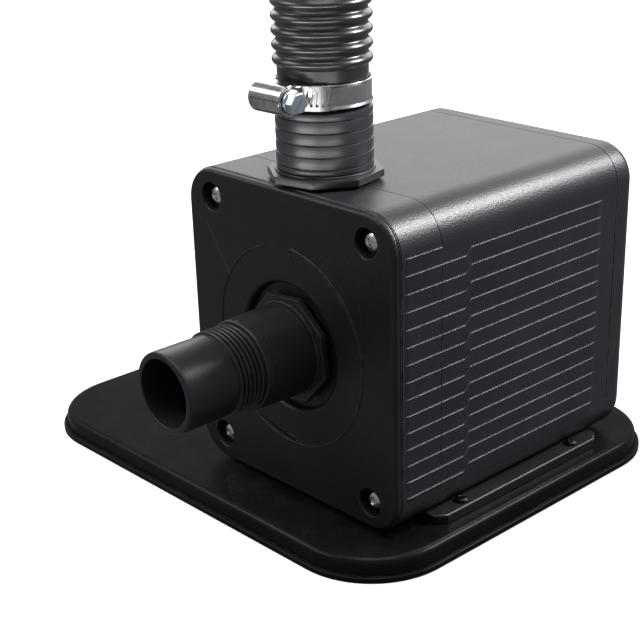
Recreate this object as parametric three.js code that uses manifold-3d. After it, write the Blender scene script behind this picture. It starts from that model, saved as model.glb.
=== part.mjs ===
// Box-shaped magnetic-drive water pump on a moulded base plate, with stepped hose tails and a clamped hose.
// Units are millimetres, +Z is up. The origin is the centre of the base plate's underside, on the floor.
// The suction tail points along -Y, the ribbed sides face +X and -X, and the rear cover faces +Y.
import * as THREE from 'three';
import { mergeVertices } from 'three/addons/utils/BufferGeometryUtils.js';
import Module from 'manifold-3d';

const wasm = await Module();
wasm.setup();

// ---------------------------------------------------------------- driving dimensions

const gap = 0.3;                 // clearance between pieces that touch or seat on each other
const runningGap = 0.1;          // radial clearance of the rotor on its shaft
const round = 20;                // sides of a round piece
const smallRound = 8;            // sides of a small round piece
const wideRound = 28;            // sides of a wide round piece or opening

const plateWidth = 228;
const plateDepth = 190;
const plateHeight = 9.5;
const plateCorner = 36;
const plateRoof = 5.7;           // thickness of the plate over its underside recess
const plateWall = 5;
const plateRib = 4;
const lipHeight = 2.6;           // foot lip round the plate
const lipReach = 1.6;

const pumpInset = 71;            // pump axis, in from the plate's right-hand edge
const frontInset = 26;           // pump's front face, behind the plate's front edge
const bodyClearance = 1.5;       // between the plate and the pump body
const bodyWidth = 117.6;
const bodyHeight = 128;
const bodyCorner = 15;
const bodyWall = 2.8;
const panelDepth = 3;
const frontShellDepth = 20.4;
const midShellDepth = 105.2;
const rearCoverDepth = 12.4;
const rearEdge = 6;              // rounding of the rear cover's edge

const panelRoom = 3;             // clear ring round the suction flange in the panel's opening
const ringR = 41.2;              // shallow ring groove in the panel
const ringGrooveWidth = 0.8;
const ringGrooveDepth = 0.5;
const ringGapStart = -12;        // stretch at the top of the ring that is left without a groove
const ringGapEnd = 3;
const screwInsetX = 15;          // corner screws, in from the body's sides
const screwInsetZ = 11.6;        // and from its top and bottom
const counterboreR = 5.7;
const counterboreDepth = 5.2;
const cupWall = 1.8;             // wall and floor of the cup that each panel screw sits in
const cupFloor = 1.4;
const screwR = 2;
const headR = 3.6;
const headHeight = 2.2;
const postR = 7;                 // screw posts of the shells
const frontPostLength = 26;
const rearPostLength = 20;
const panelScrewBite = 17.6;     // thread length past the front shell
const coverScrewBite = 12.4;     // thread length in the mid shell's rear posts
const coverScrewSink = 3.4;      // head's seat below the rear cover's face

const louvrePitch = 6.88;        // ledges on the two sides
const louvreReach = 0.8;
const louvreInset = 19;          // top ledge of the long run, below the body's top
const louvreFoot = 9.8;          // least room below the lowest ledge
const louvreDrop = 2.8;          // how far the short front run sits below the long run
const louvreFrontInset = 2.1;    // from the front shell's front edge
const louvreJogPlace = 13.8;     // from the mid shell's front edge
const louvreJogLength = 3.4;
const louvreRearInset = 9;       // from the mid shell's rear edge

const tailNeckR = 12.3;          // threaded neck of a hose tail
const tailNeckLength = 12;
const neckWall = 2.3;
const tailWall = 2.6;
const flangeReach = 4.3;         // octagonal flange's corners, beyond the large step
const flangeThickness = 3;
const tailStep = 2.7;            // large step over small step, in radius
const largeTailLength = 24.5;
const ridgeHeight = 1.1;
const ridgeZone = 12;
const ridgeCount = 6;
const smallTailR = 16;
const smallTailLength = 23;
const portWall = 2.6;            // wall of the casing's two threaded ports

const bandWidth = 9;
const bandThickness = 0.8;
const bandLip = 0.6;             // flare of the band's edges
const bandOverhang = 0.2;        // band below the cuff's end
const hoseWall = 0.9;
const crestHeight = 1.7;
const hoseLift = 1.2;            // cuff's end above the tail's large step
const cuffLength = 15.2;
const crestPitch = 5;
const crestCount = 5;
const clampAngle = -89;          // degrees about the outlet axis, where the clamp's worm housing sits

const chamberR = 38;
const casingWall = 2.5;
const casingSetback = 0.9;       // casing's front behind the front shell's wall
const jointReach = 8.5;          // joint flange of casing, can and motor case, beyond the casing's wall
const casingScrewReach = 4;      // pitch circle of the casing screws, beyond the casing's wall
const voluteRoom = 9;            // between the impeller and the chamber's wall
const bladeCount = 6;
const shaftR = 3;
const stemR = 7;
const magnetRoom = 2;            // water gap between the magnet and the can
const magnetLength = 48;
const canBoreR = 15;
const canWall = 2;
const legRoom = 1.5;             // between the can and the core's legs
const coreSetback = 10.5;        // core's front behind the motor case's rim
const coreLength = 38;
const coreTop = 16;              // heights of the core and its windings, from the pump axis
const yokeHeight = 10;
const poleHalf = 12;             // half height of the two poles that reach towards the magnet
const poleTip = 9;
const coilWall = 4.2;
const bobbinWall = 0.9;
const bobbinFlange = 1.2;
const caseSideRoom = 13;         // between the motor case and the body's side walls
const caseBottomRoom = 8.2;      // between the motor case and the body's bottom wall
const caseSpace = 3.6;           // resin between the windings and the case
const caseCorner = 19;
const caseWall = 2;
const wireHoleR = 3;             // hole for the motor's leads
const wireHoleZ = 20.5;
const terminalWidth = 26;
const terminalDepth = 11;
const terminalBottom = 2;
const terminalTop = 12;
const terminalPitch = 8;
const glandInset = 28;           // cable gland, above the body's bottom
const glandR = 8;                // its thread through the rear cover
const glandBore = 5.2;
const glandReach = 15;           // thread length inside the cover

// ---------------------------------------------------------------- materials

const finish = (color, roughness, metalness) => new THREE.MeshStandardMaterial({ color, roughness, metalness });
const blackPlastic = finish(0x1b1b1e, 0.5, 0);
const platePlastic = finish(0x1e1e21, 0.45, 0);
const darkRubber = finish(0x141415, 0.75, 0);
const hosePlastic = finish(0x18181a, 0.35, 0);
const stainless = finish(0xc9c9c6, 0.25, 1);
const zinc = finish(0xbcc4cc, 0.32, 1);
const whitePlastic = finish(0xd8d6cf, 0.45, 0);
const ceramic = finish(0xe9e6df, 0.25, 0);
const ferrite = finish(0x3a3a3c, 0.55, 0.2);
const steelLaminations = finish(0x74777b, 0.5, 0.9);
const copper = finish(0xb06a3a, 0.35, 1);
const resin = finish(0x232120, 0.4, 0);

// ---------------------------------------------------------------- solid modelling helpers

// Turns a closed three.js geometry into a manifold solid.
function solid(geometry) {
  const bare = geometry.index ? geometry.toNonIndexed() : geometry.clone();
  bare.deleteAttribute('normal');
  bare.deleteAttribute('uv');
  const merged = mergeVertices(bare, 1e-5);
  const vertProperties = new Float32Array(merged.attributes.position.array);
  const triVerts = new Uint32Array(merged.index.array);
  return new wasm.Manifold(new wasm.Mesh({ numProp: 3, vertProperties, triVerts }));
}

// A named mesh made from a manifold solid.
function part(name, body, material) {
  const mesh = body.getMesh();
  const geometry = new THREE.BufferGeometry();
  geometry.setAttribute('position', new THREE.BufferAttribute(new Float32Array(mesh.vertProperties), 3));
  geometry.setIndex(new THREE.BufferAttribute(new Uint32Array(mesh.triVerts), 1));
  geometry.computeVertexNormals();
  const item = new THREE.Mesh(geometry, material);
  item.name = name;
  return item;
}

// Points of a rounded rectangle, anticlockwise, always the same number of them.
function roundedRectangle(width, height, radius, steps = 5) {
  const points = [];
  const corners = [[1, 1, 0], [-1, 1, 90], [-1, -1, 180], [1, -1, 270]];
  for (const [sx, sz, start] of corners) {
    for (let i = 0; i <= steps; i++) {
      const a = THREE.MathUtils.degToRad(start + 90 * i / steps);
      const x = sx * (width / 2 - radius) + radius * Math.cos(a);
      const z = sz * (height / 2 - radius) + radius * Math.sin(a);
      points.push(new THREE.Vector2(x, z));
    }
  }
  return points;
}

// A closed loft through outlines with equal point counts. Along 'z' the outline lies in XY, along 'y' in XZ.
function loft(sections, along) {
  const count = sections[0].points.length;
  const positions = [];
  for (const { points, at } of sections) {
    for (const p of points) {
      if (along === 'z') positions.push(p.x, p.y, at);
      else positions.push(p.x, at, p.y);
    }
  }
  const triangles = [];
  for (let s = 0; s + 1 < sections.length; s++) {
    for (let i = 0; i < count; i++) {
      const j = (i + 1) % count;
      const [a, b, c, d] = [s * count + i, s * count + j, (s + 1) * count + j, (s + 1) * count + i];
      triangles.push(a, b, c, a, c, d);
    }
  }
  const cap = THREE.ShapeUtils.triangulateShape(sections[0].points, []);
  const top = (sections.length - 1) * count;
  for (const [a, b, c] of cap) {
    triangles.push(a, c, b);
    triangles.push(top + a, top + b, top + c);
  }
  if (along === 'y') {
    for (let t = 0; t < triangles.length; t += 3) {
      [triangles[t + 1], triangles[t + 2]] = [triangles[t + 2], triangles[t + 1]];
    }
  }
  const geometry = new THREE.BufferGeometry();
  geometry.setAttribute('position', new THREE.BufferAttribute(new Float32Array(positions), 3));
  geometry.setIndex(triangles);
  return solid(geometry);
}

const cylinderZ = (r, z0, z1, sides = round, x = 0, y = 0) =>
  solid(new THREE.CylinderGeometry(r, r, z1 - z0, sides).rotateX(Math.PI / 2).translate(x, y, (z0 + z1) / 2));

const cylinderY = (r, y0, y1, sides = round, x = 0, z = 0) =>
  solid(new THREE.CylinderGeometry(r, r, y1 - y0, sides).translate(x, (y0 + y1) / 2, z));

const box = (x0, x1, y0, y1, z0, z1) =>
  solid(new THREE.BoxGeometry(x1 - x0, y1 - y0, z1 - z0).translate((x0 + x1) / 2, (y0 + y1) / 2, (z0 + z1) / 2));

const union = (first, ...others) => others.reduce((sum, item) => sum.add(item), first);
const cut = (first, ...others) => others.reduce((rest, item) => rest.subtract(item), first);

// A turned piece along +Z: the profile is a list of [radius, height] and closes on itself or on the axis.
function turned(profile, sides = round) {
  const points = profile.map(([r, h]) => new THREE.Vector2(r, h));
  return solid(new THREE.LatheGeometry(points, sides).rotateX(Math.PI / 2));
}

// Stands a piece made along +Z on the pump's axis, its +Z end facing the front (-Y).
const facingFront = (body) => body.rotate([90, 0, 0]);

// The same, facing the rear (+Y).
const facingRear = (body) => body.rotate([-90, 0, 0]);

const fourCorners = [[1, 1], [-1, 1], [-1, -1], [1, -1]];

// ---------------------------------------------------------------- places worked out from the dimensions

const axisHeight = plateHeight + bodyClearance + bodyHeight / 2;
const pumpX = plateWidth / 2 - pumpInset;
const plateTop = plateHeight - axisHeight;          // plate's top face, from the pump axis
const bodyTop = bodyHeight / 2;
const frontShellStart = panelDepth + gap;
const frontShellEnd = frontShellStart + frontShellDepth;
const midStart = frontShellEnd + gap;
const midEnd = midStart + midShellDepth;
const coverStart = midEnd + gap;
const coverEnd = coverStart + rearCoverDepth;
const coverSeat = coverEnd - coverScrewSink;        // where the rear screws' heads seat

const screwX = bodyWidth / 2 - screwInsetX;
const screwZ = bodyHeight / 2 - screwInsetZ;
const cupR = counterboreR + cupWall;
const cupEnd = counterboreDepth + cupFloor;

const largeTailR = smallTailR + tailStep;
const ridgeR = smallTailR + ridgeHeight;
const flangeR = largeTailR + flangeReach;           // corner radius of the octagonal flange
const panelHoleR = flangeR + panelRoom;
const portR = tailNeckR + gap + portWall;           // outside of a casing port

const casingFront = frontShellStart + bodyWall + casingSetback;
const outletY = casingFront + portR - 0.2;          // outlet axis, behind the front face
const casingJoint = outletY + portR + gap;          // rear face of the casing's joint flange
const flangeDiscR = chamberR + casingWall + jointReach;
const casingScrewR = chamberR + casingWall + casingScrewReach;

const bodyOutline = (inset) =>
  roundedRectangle(bodyWidth - 2 * inset, bodyHeight - 2 * inset, bodyCorner - inset);
const bodyBlock = (inset, y0, y1) =>
  loft([{ points: bodyOutline(inset), at: y0 }, { points: bodyOutline(inset), at: y1 }], 'y');

// ---------------------------------------------------------------- base plate

const railInner = bodyWidth / 2 - 18.8;             // mounting rails under the pump's lower edges
const railOuter = bodyWidth / 2 + 2.6;
const railFront = 21;
const railBack = coverEnd - 17.9;
const railTop = plateTop + 4.2;
const railScrewX = railOuter - 4;
const railScrewYs = [railFront + 17, railBack - 16];
const railScrewHole = 1.9;

const railScrewPlaces = [];
for (const side of [-1, 1]) {
  for (const y of railScrewYs) railScrewPlaces.push([side * railScrewX, y]);
}
const toPlate = (x, y) => [x + pumpX, y + frontInset - plateDepth / 2];

function makeBasePlate() {
  const outline = (inset) =>
    roundedRectangle(plateWidth - 2 * inset, plateDepth - 2 * inset, plateCorner - inset, 7);
  const shape = loft([
    { points: outline(0), at: 0 },
    { points: outline(0), at: lipHeight },
    { points: outline(lipReach), at: lipHeight + 0.4 },
    { points: outline(lipReach + 0.4), at: plateHeight - 2 },
    { points: outline(lipReach + 1.1), at: plateHeight - 0.6 },
    { points: outline(lipReach + 2.6), at: plateHeight },
  ], 'z');
  const recess = loft([
    { points: outline(plateWall), at: -1 },
    { points: outline(plateWall), at: plateHeight - plateRoof },
  ], 'z');
  const half = plateRib / 2;
  const ribTop = plateHeight - plateRoof + 0.5;
  const reachX = plateWidth / 2 - plateWall + 0.5;
  const reachY = plateDepth / 2 - plateWall + 0.5;
  const bosses = railScrewPlaces.map(([x, y]) => {
    const [px, py] = toPlate(x, y);
    return cylinderZ(5, 0, ribTop, smallRound, px, py);
  });
  const pilots = railScrewPlaces.map(([x, y]) => {
    const [px, py] = toPlate(x, y);
    return cylinderZ(railScrewHole, 1.6, plateHeight + 1, smallRound, px, py);
  });
  const stiffened = union(
    cut(shape, recess),
    box(-reachX, reachX, -half, half, 0, ribTop),
    box(-half, half, -reachY, reachY, 0, ribTop),
    cylinderZ(10, 0, ribTop, smallRound),
    ...bosses,
  );
  return cut(stiffened, ...pilots);
}

// ---------------------------------------------------------------- mounting rails and their screws

function makeRail(side) {
  const zBase = plateTop + gap;
  const profile = [
    new THREE.Vector2(railInner, zBase),
    new THREE.Vector2(railOuter, zBase),
    new THREE.Vector2(railOuter, railTop - 0.8),
    new THREE.Vector2(railOuter - 0.8, railTop),
    new THREE.Vector2(railInner, railTop),
  ];
  const tapered = profile.map((p) => new THREE.Vector2(Math.min(p.x, railOuter - 4), p.y));
  const right = loft([
    { points: tapered, at: railFront },
    { points: profile, at: railFront + 5 },
    { points: profile, at: railBack - 5 },
    { points: tapered, at: railBack },
  ], 'y');
  const seated = cut(
    right,
    bodyBlock(-gap, railFront - 2, railBack + 2),
    ...railScrewYs.map((y) => cylinderZ(railScrewHole + gap, plateTop - 1, railTop + 1, smallRound, railScrewX, y)),
  );
  return side > 0 ? seated : seated.mirror([1, 0, 0]);
}

// Pan-head cross-recess screw along +Z, its seat at height 0 and its shank below.
function panScrew(shankR, shankLength, head, height) {
  const shape = turned([
    [0, -shankLength],
    [shankR, -shankLength + 1],
    [shankR, 0],
    [head, 0],
    [head, height * 0.5],
    [head * 0.75, height],
    [0, height],
  ], smallRound);
  const slot = head * 0.62;
  const width = head * 0.14;
  const depth = height * 0.45;
  return cut(
    shape,
    box(-slot, slot, -width, width, depth, height + 1),
    box(-width, width, -slot, slot, depth, height + 1),
  );
}

// ---------------------------------------------------------------- pump body

// A panel with softened front edge, a cup for each corner screw, a round opening and a shallow ring groove.
function makeFrontPanel() {
  const plate = loft([
    { points: bodyOutline(2.2), at: 0 },
    { points: bodyOutline(0.9), at: 0.5 },
    { points: bodyOutline(0.2), at: 1.5 },
    { points: bodyOutline(0), at: 2.2 },
    { points: bodyOutline(0), at: panelDepth },
  ], 'y');
  const cups = fourCorners.map(([sx, sz]) =>
    cylinderY(cupR, panelDepth - 0.5, cupEnd, smallRound, sx * screwX, sz * screwZ));
  const cupBores = fourCorners.map(([sx, sz]) =>
    cylinderY(counterboreR, -1, counterboreDepth, 16, sx * screwX, sz * screwZ));
  const screwHoles = fourCorners.map(([sx, sz]) =>
    cylinderY(screwR + gap, 1, counterboreDepth + 3, smallRound, sx * screwX, sz * screwZ));
  const groove = cut(
    cylinderY(ringR, -1, ringGrooveDepth, wideRound),
    cylinderY(ringR - ringGrooveWidth, -2, ringGrooveDepth + 1, wideRound),
    box(ringGapStart, ringGapEnd, -2, 2, ringR - 6, ringR + 4),
  );
  const opening = cylinderY(panelHoleR, -1, panelDepth + 1, round);
  return cut(union(plate, ...cups), ...cupBores, ...screwHoles, groove, opening);
}

const louvreTop = bodyTop - louvreInset;
const louvreCount = Math.floor((bodyHeight - louvreInset - louvreDrop - louvreFoot) / louvrePitch);
const louvreJog = midStart + louvreJogPlace;

// Stepped side field of louvre ledges, lofted along the depth so that each ledge can jog upwards.
function louvres(stations) {
  const field = (shift) => {
    const points = [];
    const inner = bodyWidth / 2 - 1;
    const outer = bodyWidth / 2;
    const bottom = louvreTop - louvrePitch * louvreCount + shift;
    points.push(new THREE.Vector2(inner, bottom + 0.4));
    points.push(new THREE.Vector2(outer - 0.1, bottom + 0.4));
    for (let i = louvreCount - 1; i >= 0; i--) {
      const top = louvreTop - i * louvrePitch + shift;
      points.push(new THREE.Vector2(outer + louvreReach, top));
      points.push(new THREE.Vector2(outer - 0.1, top + 0.2));
    }
    points.push(new THREE.Vector2(inner, louvreTop + shift + 0.2));
    return points;
  };
  return loft(stations.map(([y, shift]) => ({ points: field(shift), at: y })), 'y');
}

const bothSides = (right) => [right, right.mirror([1, 0, 0])];

const outletHole = () => cylinderZ(portR + gap, 0, bodyTop + 5, round, 0, outletY);

function makeFrontShell() {
  const posts = fourCorners.map(([sx, sz]) =>
    cylinderY(cupR + gap + cupWall, frontShellStart, frontShellEnd, smallRound, sx * screwX, sz * screwZ));
  const shell = cut(
    bodyBlock(0, frontShellStart, frontShellEnd),
    bodyBlock(bodyWall, frontShellStart + bodyWall, frontShellEnd + 1),
  );
  const trimmedPosts = posts.map((post) => post.intersect(bodyBlock(0.5, frontShellStart, frontShellEnd)));
  const pockets = fourCorners.map(([sx, sz]) =>
    cylinderY(cupR + gap, 0, cupEnd + gap, smallRound, sx * screwX, sz * screwZ));
  const screwHoles = fourCorners.map(([sx, sz]) =>
    cylinderY(screwR + gap, 0, frontShellEnd + 1, smallRound, sx * screwX, sz * screwZ));
  const inletHole = cylinderY(portR + gap, 0, frontShellStart + bodyWall + 1, round);
  const ledges = bothSides(louvres([[frontShellStart + louvreFrontInset, -louvreDrop], [frontShellEnd, -louvreDrop]]));
  return cut(union(shell, ...trimmedPosts, ...ledges), ...pockets, ...screwHoles, inletHole, outletHole());
}

function makeMidShell() {
  const postRuns = [[midStart, midStart + frontPostLength], [midEnd - rearPostLength, midEnd]];
  const posts = [];
  for (const [y0, y1] of postRuns) {
    for (const [sx, sz] of fourCorners) {
      const [x0, x1] = [sx * screwX, sx * (bodyWidth / 2 - 1)].sort((a, b) => a - b);
      posts.push(cylinderY(postR, y0, y1, smallRound, sx * screwX, sz * screwZ));
      posts.push(box(x0, x1, y0, y1, sz * screwZ - 1, sz * screwZ + 1));
    }
  }
  const trimmed = posts.map((post) => post.intersect(bodyBlock(1, midStart, midEnd)));
  const tube = cut(bodyBlock(0, midStart, midEnd), bodyBlock(bodyWall, midStart - 1, midEnd + 1));
  const pilots = fourCorners.flatMap(([sx, sz]) => [
    cylinderY(screwR + gap, midStart - 1, midStart + panelScrewBite + 4.4, smallRound, sx * screwX, sz * screwZ),
    cylinderY(screwR + gap, midEnd - coverScrewBite - 4.6, midEnd + 1, smallRound, sx * screwX, sz * screwZ),
  ]);
  const ledges = bothSides(louvres([
    [midStart, -louvreDrop],
    [louvreJog, -louvreDrop],
    [louvreJog + louvreJogLength, 0],
    [midEnd - louvreRearInset, 0],
  ]));
  return cut(union(tube, ...trimmed, ...ledges), ...pilots, outletHole());
}

function makeRearCover() {
  const edge = (inset, back) => ({ points: bodyOutline(inset), at: coverEnd - back });
  const outside = loft([
    { points: bodyOutline(0), at: coverStart },
    edge(0, rearEdge),
    edge(rearEdge * 0.134, rearEdge * 0.5),
    edge(rearEdge * 0.4, rearEdge * 0.2),
    edge(rearEdge, 0),
  ], 'y');
  const inside = loft([
    { points: bodyOutline(bodyWall), at: coverStart - 1 },
    { points: bodyOutline(bodyWall), at: coverEnd - rearEdge - 0.5 },
    { points: bodyOutline(bodyWall + 3.5), at: coverEnd - bodyWall },
  ], 'y');
  const posts = fourCorners.map(([sx, sz]) =>
    cylinderY(postR + 0.5, coverStart, coverEnd - 0.5, smallRound, sx * screwX, sz * screwZ).intersect(outside));
  const heads = fourCorners.map(([sx, sz]) =>
    cylinderY(headR + 0.8, coverSeat, coverEnd + 1, smallRound, sx * screwX, sz * screwZ));
  const holes = fourCorners.map(([sx, sz]) =>
    cylinderY(screwR + gap, coverStart - 1, coverEnd, smallRound, sx * screwX, sz * screwZ));
  const glandHole = cylinderY(glandR + gap, coverStart, coverEnd + 1, round, 0, glandZ);
  return cut(union(cut(outside, inside), ...posts), ...heads, ...holes, glandHole);
}

// ---------------------------------------------------------------- hose tails

// A stepped hose tail along +Z with its flange's seat at height 0. Without ridges its small end is plain.
function makeTail(ridged, turn) {
  const flangeTop = flangeThickness;
  const largeEnd = flangeTop + largeTailLength;
  const ridgesEnd = largeEnd + ridgeZone;
  const tip = ridgesEnd + smallTailLength;
  const tailBore = tailNeckR - neckWall;
  const mouthBore = smallTailR - tailWall;
  const profile = [
    [tailBore, -tailNeckLength],
    [tailNeckR - 0.6, -tailNeckLength],
    [tailNeckR, -tailNeckLength + 0.8],
    [tailNeckR, 0],
    [largeTailR + 0.6, 0],
    [largeTailR + 0.6, flangeTop + 0.8],
    [largeTailR - 0.5, flangeTop + 1.4],
  ];
  profile.push([largeTailR, flangeTop + 1.8]);
  profile.push([largeTailR - 0.7, largeEnd - 0.6]);
  profile.push([largeTailR - 1.4, largeEnd]);
  const ridgePitch = ridgeZone / ridgeCount;
  if (ridged) {
    for (let i = 0; i < ridgeCount; i++) {
      const start = largeEnd + i * ridgePitch;
      profile.push([smallTailR + 0.1, start + 0.35]);
      profile.push([ridgeR, start + ridgePitch - 0.6]);
    }
  }
  profile.push([smallTailR, largeEnd + (ridged ? ridgeZone + 0.2 : 0.4)]);
  profile.push([smallTailR - 0.1, tip - 0.8]);
  profile.push([smallTailR - 0.8, tip]);
  profile.push([mouthBore, tip]);
  profile.push([mouthBore, flangeTop + 1]);
  profile.push([tailBore, flangeTop - 2]);
  profile.push([tailBore, -tailNeckLength]);
  const body = turned(profile);
  const octagon = new THREE.CylinderGeometry(flangeR, flangeR, flangeThickness, 8)
    .rotateX(Math.PI / 2).rotateZ(THREE.MathUtils.degToRad(turn)).translate(0, 0, flangeThickness / 2);
  const collar = cut(solid(octagon), cylinderZ(largeTailR - 1, -1, flangeThickness + 1, round));
  return union(body, collar);
}

// ---------------------------------------------------------------- hose and clamp

const outletSeat = bodyTop + 1.2;                   // outlet flange's seat, above the pump axis
const hoseStart = outletSeat + flangeThickness + largeTailLength + gap + hoseLift;
const hoseBoreR = smallTailR + gap;
const cuffR = hoseBoreR + hoseWall;
const crestR = cuffR + crestHeight;
const clampZ = hoseStart - bandOverhang + bandWidth / 2;   // middle of the clamp band

// A short corrugated connector with a plain cuff at each end.
function makeHose() {
  const profile = [[hoseBoreR, 0], [cuffR, 0], [cuffR, cuffLength]];
  for (let i = 0; i < crestCount; i++) {
    const start = cuffLength + i * crestPitch;
    profile.push([crestR, start + 0.8]);
    profile.push([crestR, start + 2.6]);
    profile.push([cuffR, start + 3.4]);
    profile.push([cuffR, start + crestPitch]);
  }
  const top = cuffLength + crestCount * crestPitch + cuffLength;
  profile.push([cuffR, top]);
  profile.push([hoseBoreR, top]);
  profile.push([hoseBoreR, 0]);
  return turned(profile).translate([0, outletY, hoseStart]);
}

const bandInnerR = cuffR + gap;
const bandOuterR = bandInnerR + bandThickness;
const tongueInnerR = bandOuterR + bandLip + gap;    // free end of the band, lying over the full turn
const tongueOuterR = tongueInnerR + bandThickness;
const tongueRoot = -14;                             // degrees, from the middle of the worm housing
const tongueArc = 58;
const slotCount = 5;
const slotPitch = 6.2;
const slotWidth = 1.1;
const slotHeight = 6;

// A strip bent round the hose's axis between two angles, seen from above.
function arcStrip(innerR, outerR, from, to, width) {
  const steps = 12;
  const inner = [];
  const outer = [];
  for (let i = 0; i <= steps; i++) {
    const a = THREE.MathUtils.degToRad(from + (to - from) * i / steps);
    inner.push(new THREE.Vector2(innerR * Math.cos(a), innerR * Math.sin(a)));
    outer.push(new THREE.Vector2(outerR * Math.cos(a), outerR * Math.sin(a)));
  }
  const outline = new THREE.Shape([...outer, ...inner.reverse()]);
  return solid(new THREE.ExtrudeGeometry(outline, { depth: width, bevelEnabled: false, steps: 1 })
    .translate(0, 0, -width / 2));
}

// The band is one strip: a full turn, then its slotted free end, which comes out on the screw head's side.
function makeClampBand() {
  const half = bandWidth / 2;
  const flat = half - 1.2;
  const ring = turned([
    [bandInnerR + bandLip, -half],
    [bandOuterR + bandLip, -half],
    [bandOuterR, -flat],
    [bandOuterR, flat],
    [bandOuterR + bandLip, half],
    [bandInnerR + bandLip, half],
    [bandInnerR, flat],
    [bandInnerR, -flat],
    [bandInnerR + bandLip, -half],
  ], 36);
  const root = arcStrip(bandInnerR + 0.3, tongueInnerR + 0.4, tongueRoot, tongueRoot + 9, 2 * flat);
  const tongue = arcStrip(tongueInnerR, tongueOuterR, tongueRoot, tongueArc, bandWidth);
  const slots = [];
  for (let i = 0; i < slotCount; i++) {
    const slot = box(tongueInnerR - 0.2, tongueOuterR + 1, -slotWidth / 2, slotWidth / 2, -slotHeight / 2, slotHeight / 2);
    slots.push(slot.rotate([0, 0, tongueArc - 3 - slotPitch * i]));
  }
  return union(ring, root, cut(tongue, ...slots));
}

// The worm housing is a round barrel along the tangent, open at both ends, on feet that reach past the band.
const barrelR = 5.7;
const barrelBore = 4.1;
const barrelX = tongueOuterR + barrelBore + 0.1;
const barrelBack = -9;
const barrelFront = 8;
const footHalf = bandWidth / 2 + 0.9;

function makeClampHousing() {
  const barrel = cylinderY(barrelR, barrelBack, barrelFront, 20, barrelX, 0);
  const foot = box(tongueOuterR - 3, barrelX, barrelBack, barrelFront, -footHalf, footHalf);
  const bore = cylinderY(barrelBore, barrelBack - 1, barrelFront + 1, 16, barrelX, 0);
  const sweep = cylinderZ(tongueOuterR + gap, -bandWidth, bandWidth, 48);
  return cut(union(barrel, foot), bore, sweep);
}

// Slotted hex-head worm screw along the barrel, its head in front of the barrel's open end.
const wormPitch = 2.1;
const wormDepth = 0.9;
const hexR = 4.1;

function makeClampScrew() {
  const wormR = barrelBore - gap;
  const shank = cylinderY(wormR, barrelBack + 0.6, barrelFront + 0.5, 16);
  const grooves = [];
  for (let y = barrelBack + 2; y < barrelFront - 1; y += wormPitch) {
    grooves.push(cut(cylinderY(wormR + 1, y - 0.5, y + 0.5, 16), cylinderY(wormR - wormDepth, y - 1, y + 1, 16)));
  }
  const washer = cylinderY(barrelR - 1.3, barrelFront + 0.4, barrelFront + 1.6, 16);
  const hex = cylinderY(hexR, barrelFront + 1.5, barrelFront + 5.2, 6);
  const slot = box(-0.7, 0.7, barrelFront + 4, barrelFront + 7, -hexR - 1, hexR + 1);
  return cut(union(cut(shank, ...grooves), washer, hex), slot);
}

// ---------------------------------------------------------------- pump casing and can

const casingFlange = 3.6;
const canFlange = 3.4;
const canCap = 2;
const spigotR = chamberR - gap;
const spigotDepth = 3.4;
const canStart = casingJoint + gap;
const caseStart = canStart + canFlange + gap;
const caseFlange = 2.8;
const magnetR = canBoreR - magnetRoom;
const magnetStart = caseStart + 0.5;
const magnetEnd = magnetStart + magnetLength;
const stemEnd = magnetEnd + 1;
const canEnd = stemEnd + 7;
const inletSeat = 1.2;
const sealRoom = 1.5;             // room for the suction seal between the tail's flange and the port

const diagonal = casingScrewR / Math.SQRT2;
const atCasingScrews = (make) => fourCorners.map(([sx, sz]) => make(sx * diagonal, sz * diagonal));

function makeCasingFront() {
  const bowl = cylinderY(chamberR + casingWall, casingFront, casingJoint, wideRound);
  const flange = cylinderY(flangeDiscR, casingJoint - casingFlange, casingJoint, wideRound);
  const inletPort = cylinderY(portR, inletSeat + sealRoom, casingFront + 1);
  const outletPort = cylinderZ(portR, 0, bodyTop - 0.4, round, 0, outletY);
  const chamber = cylinderY(chamberR, casingFront + casingWall, casingJoint + 1, wideRound);
  const inletBore = cylinderY(tailNeckR + gap, 0, casingFront + casingWall + 4);
  const outletBore = cylinderZ(tailNeckR + gap, chamberR - 12, bodyTop + 1, round, 0, outletY);
  const spiderStart = casingFront + casingWall + 3.9;
  const arms = [0, 1, 2].map((i) =>
    box(-1.2, 1.2, spiderStart, spiderStart + 2.8, 4, tailNeckR + 1.5).rotate([0, 120 * i, 0]));
  const eyeRing = cut(
    cylinderY(tailNeckR + gap + 2, casingFront + 1, spiderStart + 2.8),
    cylinderY(tailNeckR + gap, 0, casingJoint),
  );
  const hub = cut(
    cylinderY(6.6, spiderStart, spiderStart + 2.8, 24),
    cylinderY(bushR + gap, 0, casingJoint, 24),
  );
  const holes = atCasingScrews((x, z) => cylinderY(screwR + gap, 0, casingJoint + 1, smallRound, x, z));
  const armsTrimmed = arms.map((arm) => cut(arm, cylinderY(bushR + gap, 0, casingJoint, 24)));
  return union(
    cut(union(bowl, flange, inletPort, outletPort), chamber, inletBore, outletBore, ...holes),
    eyeRing, hub, ...armsTrimmed,
  );
}

const bushR = 4.6;
const bushBoreR = shaftR + gap;
const frontBushStart = casingFront + casingWall + 3.4;
const frontBushEnd = frontBushStart + 4;
const rotorFront = frontBushEnd + gap;
const rearBushStart = stemEnd + gap;

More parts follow.
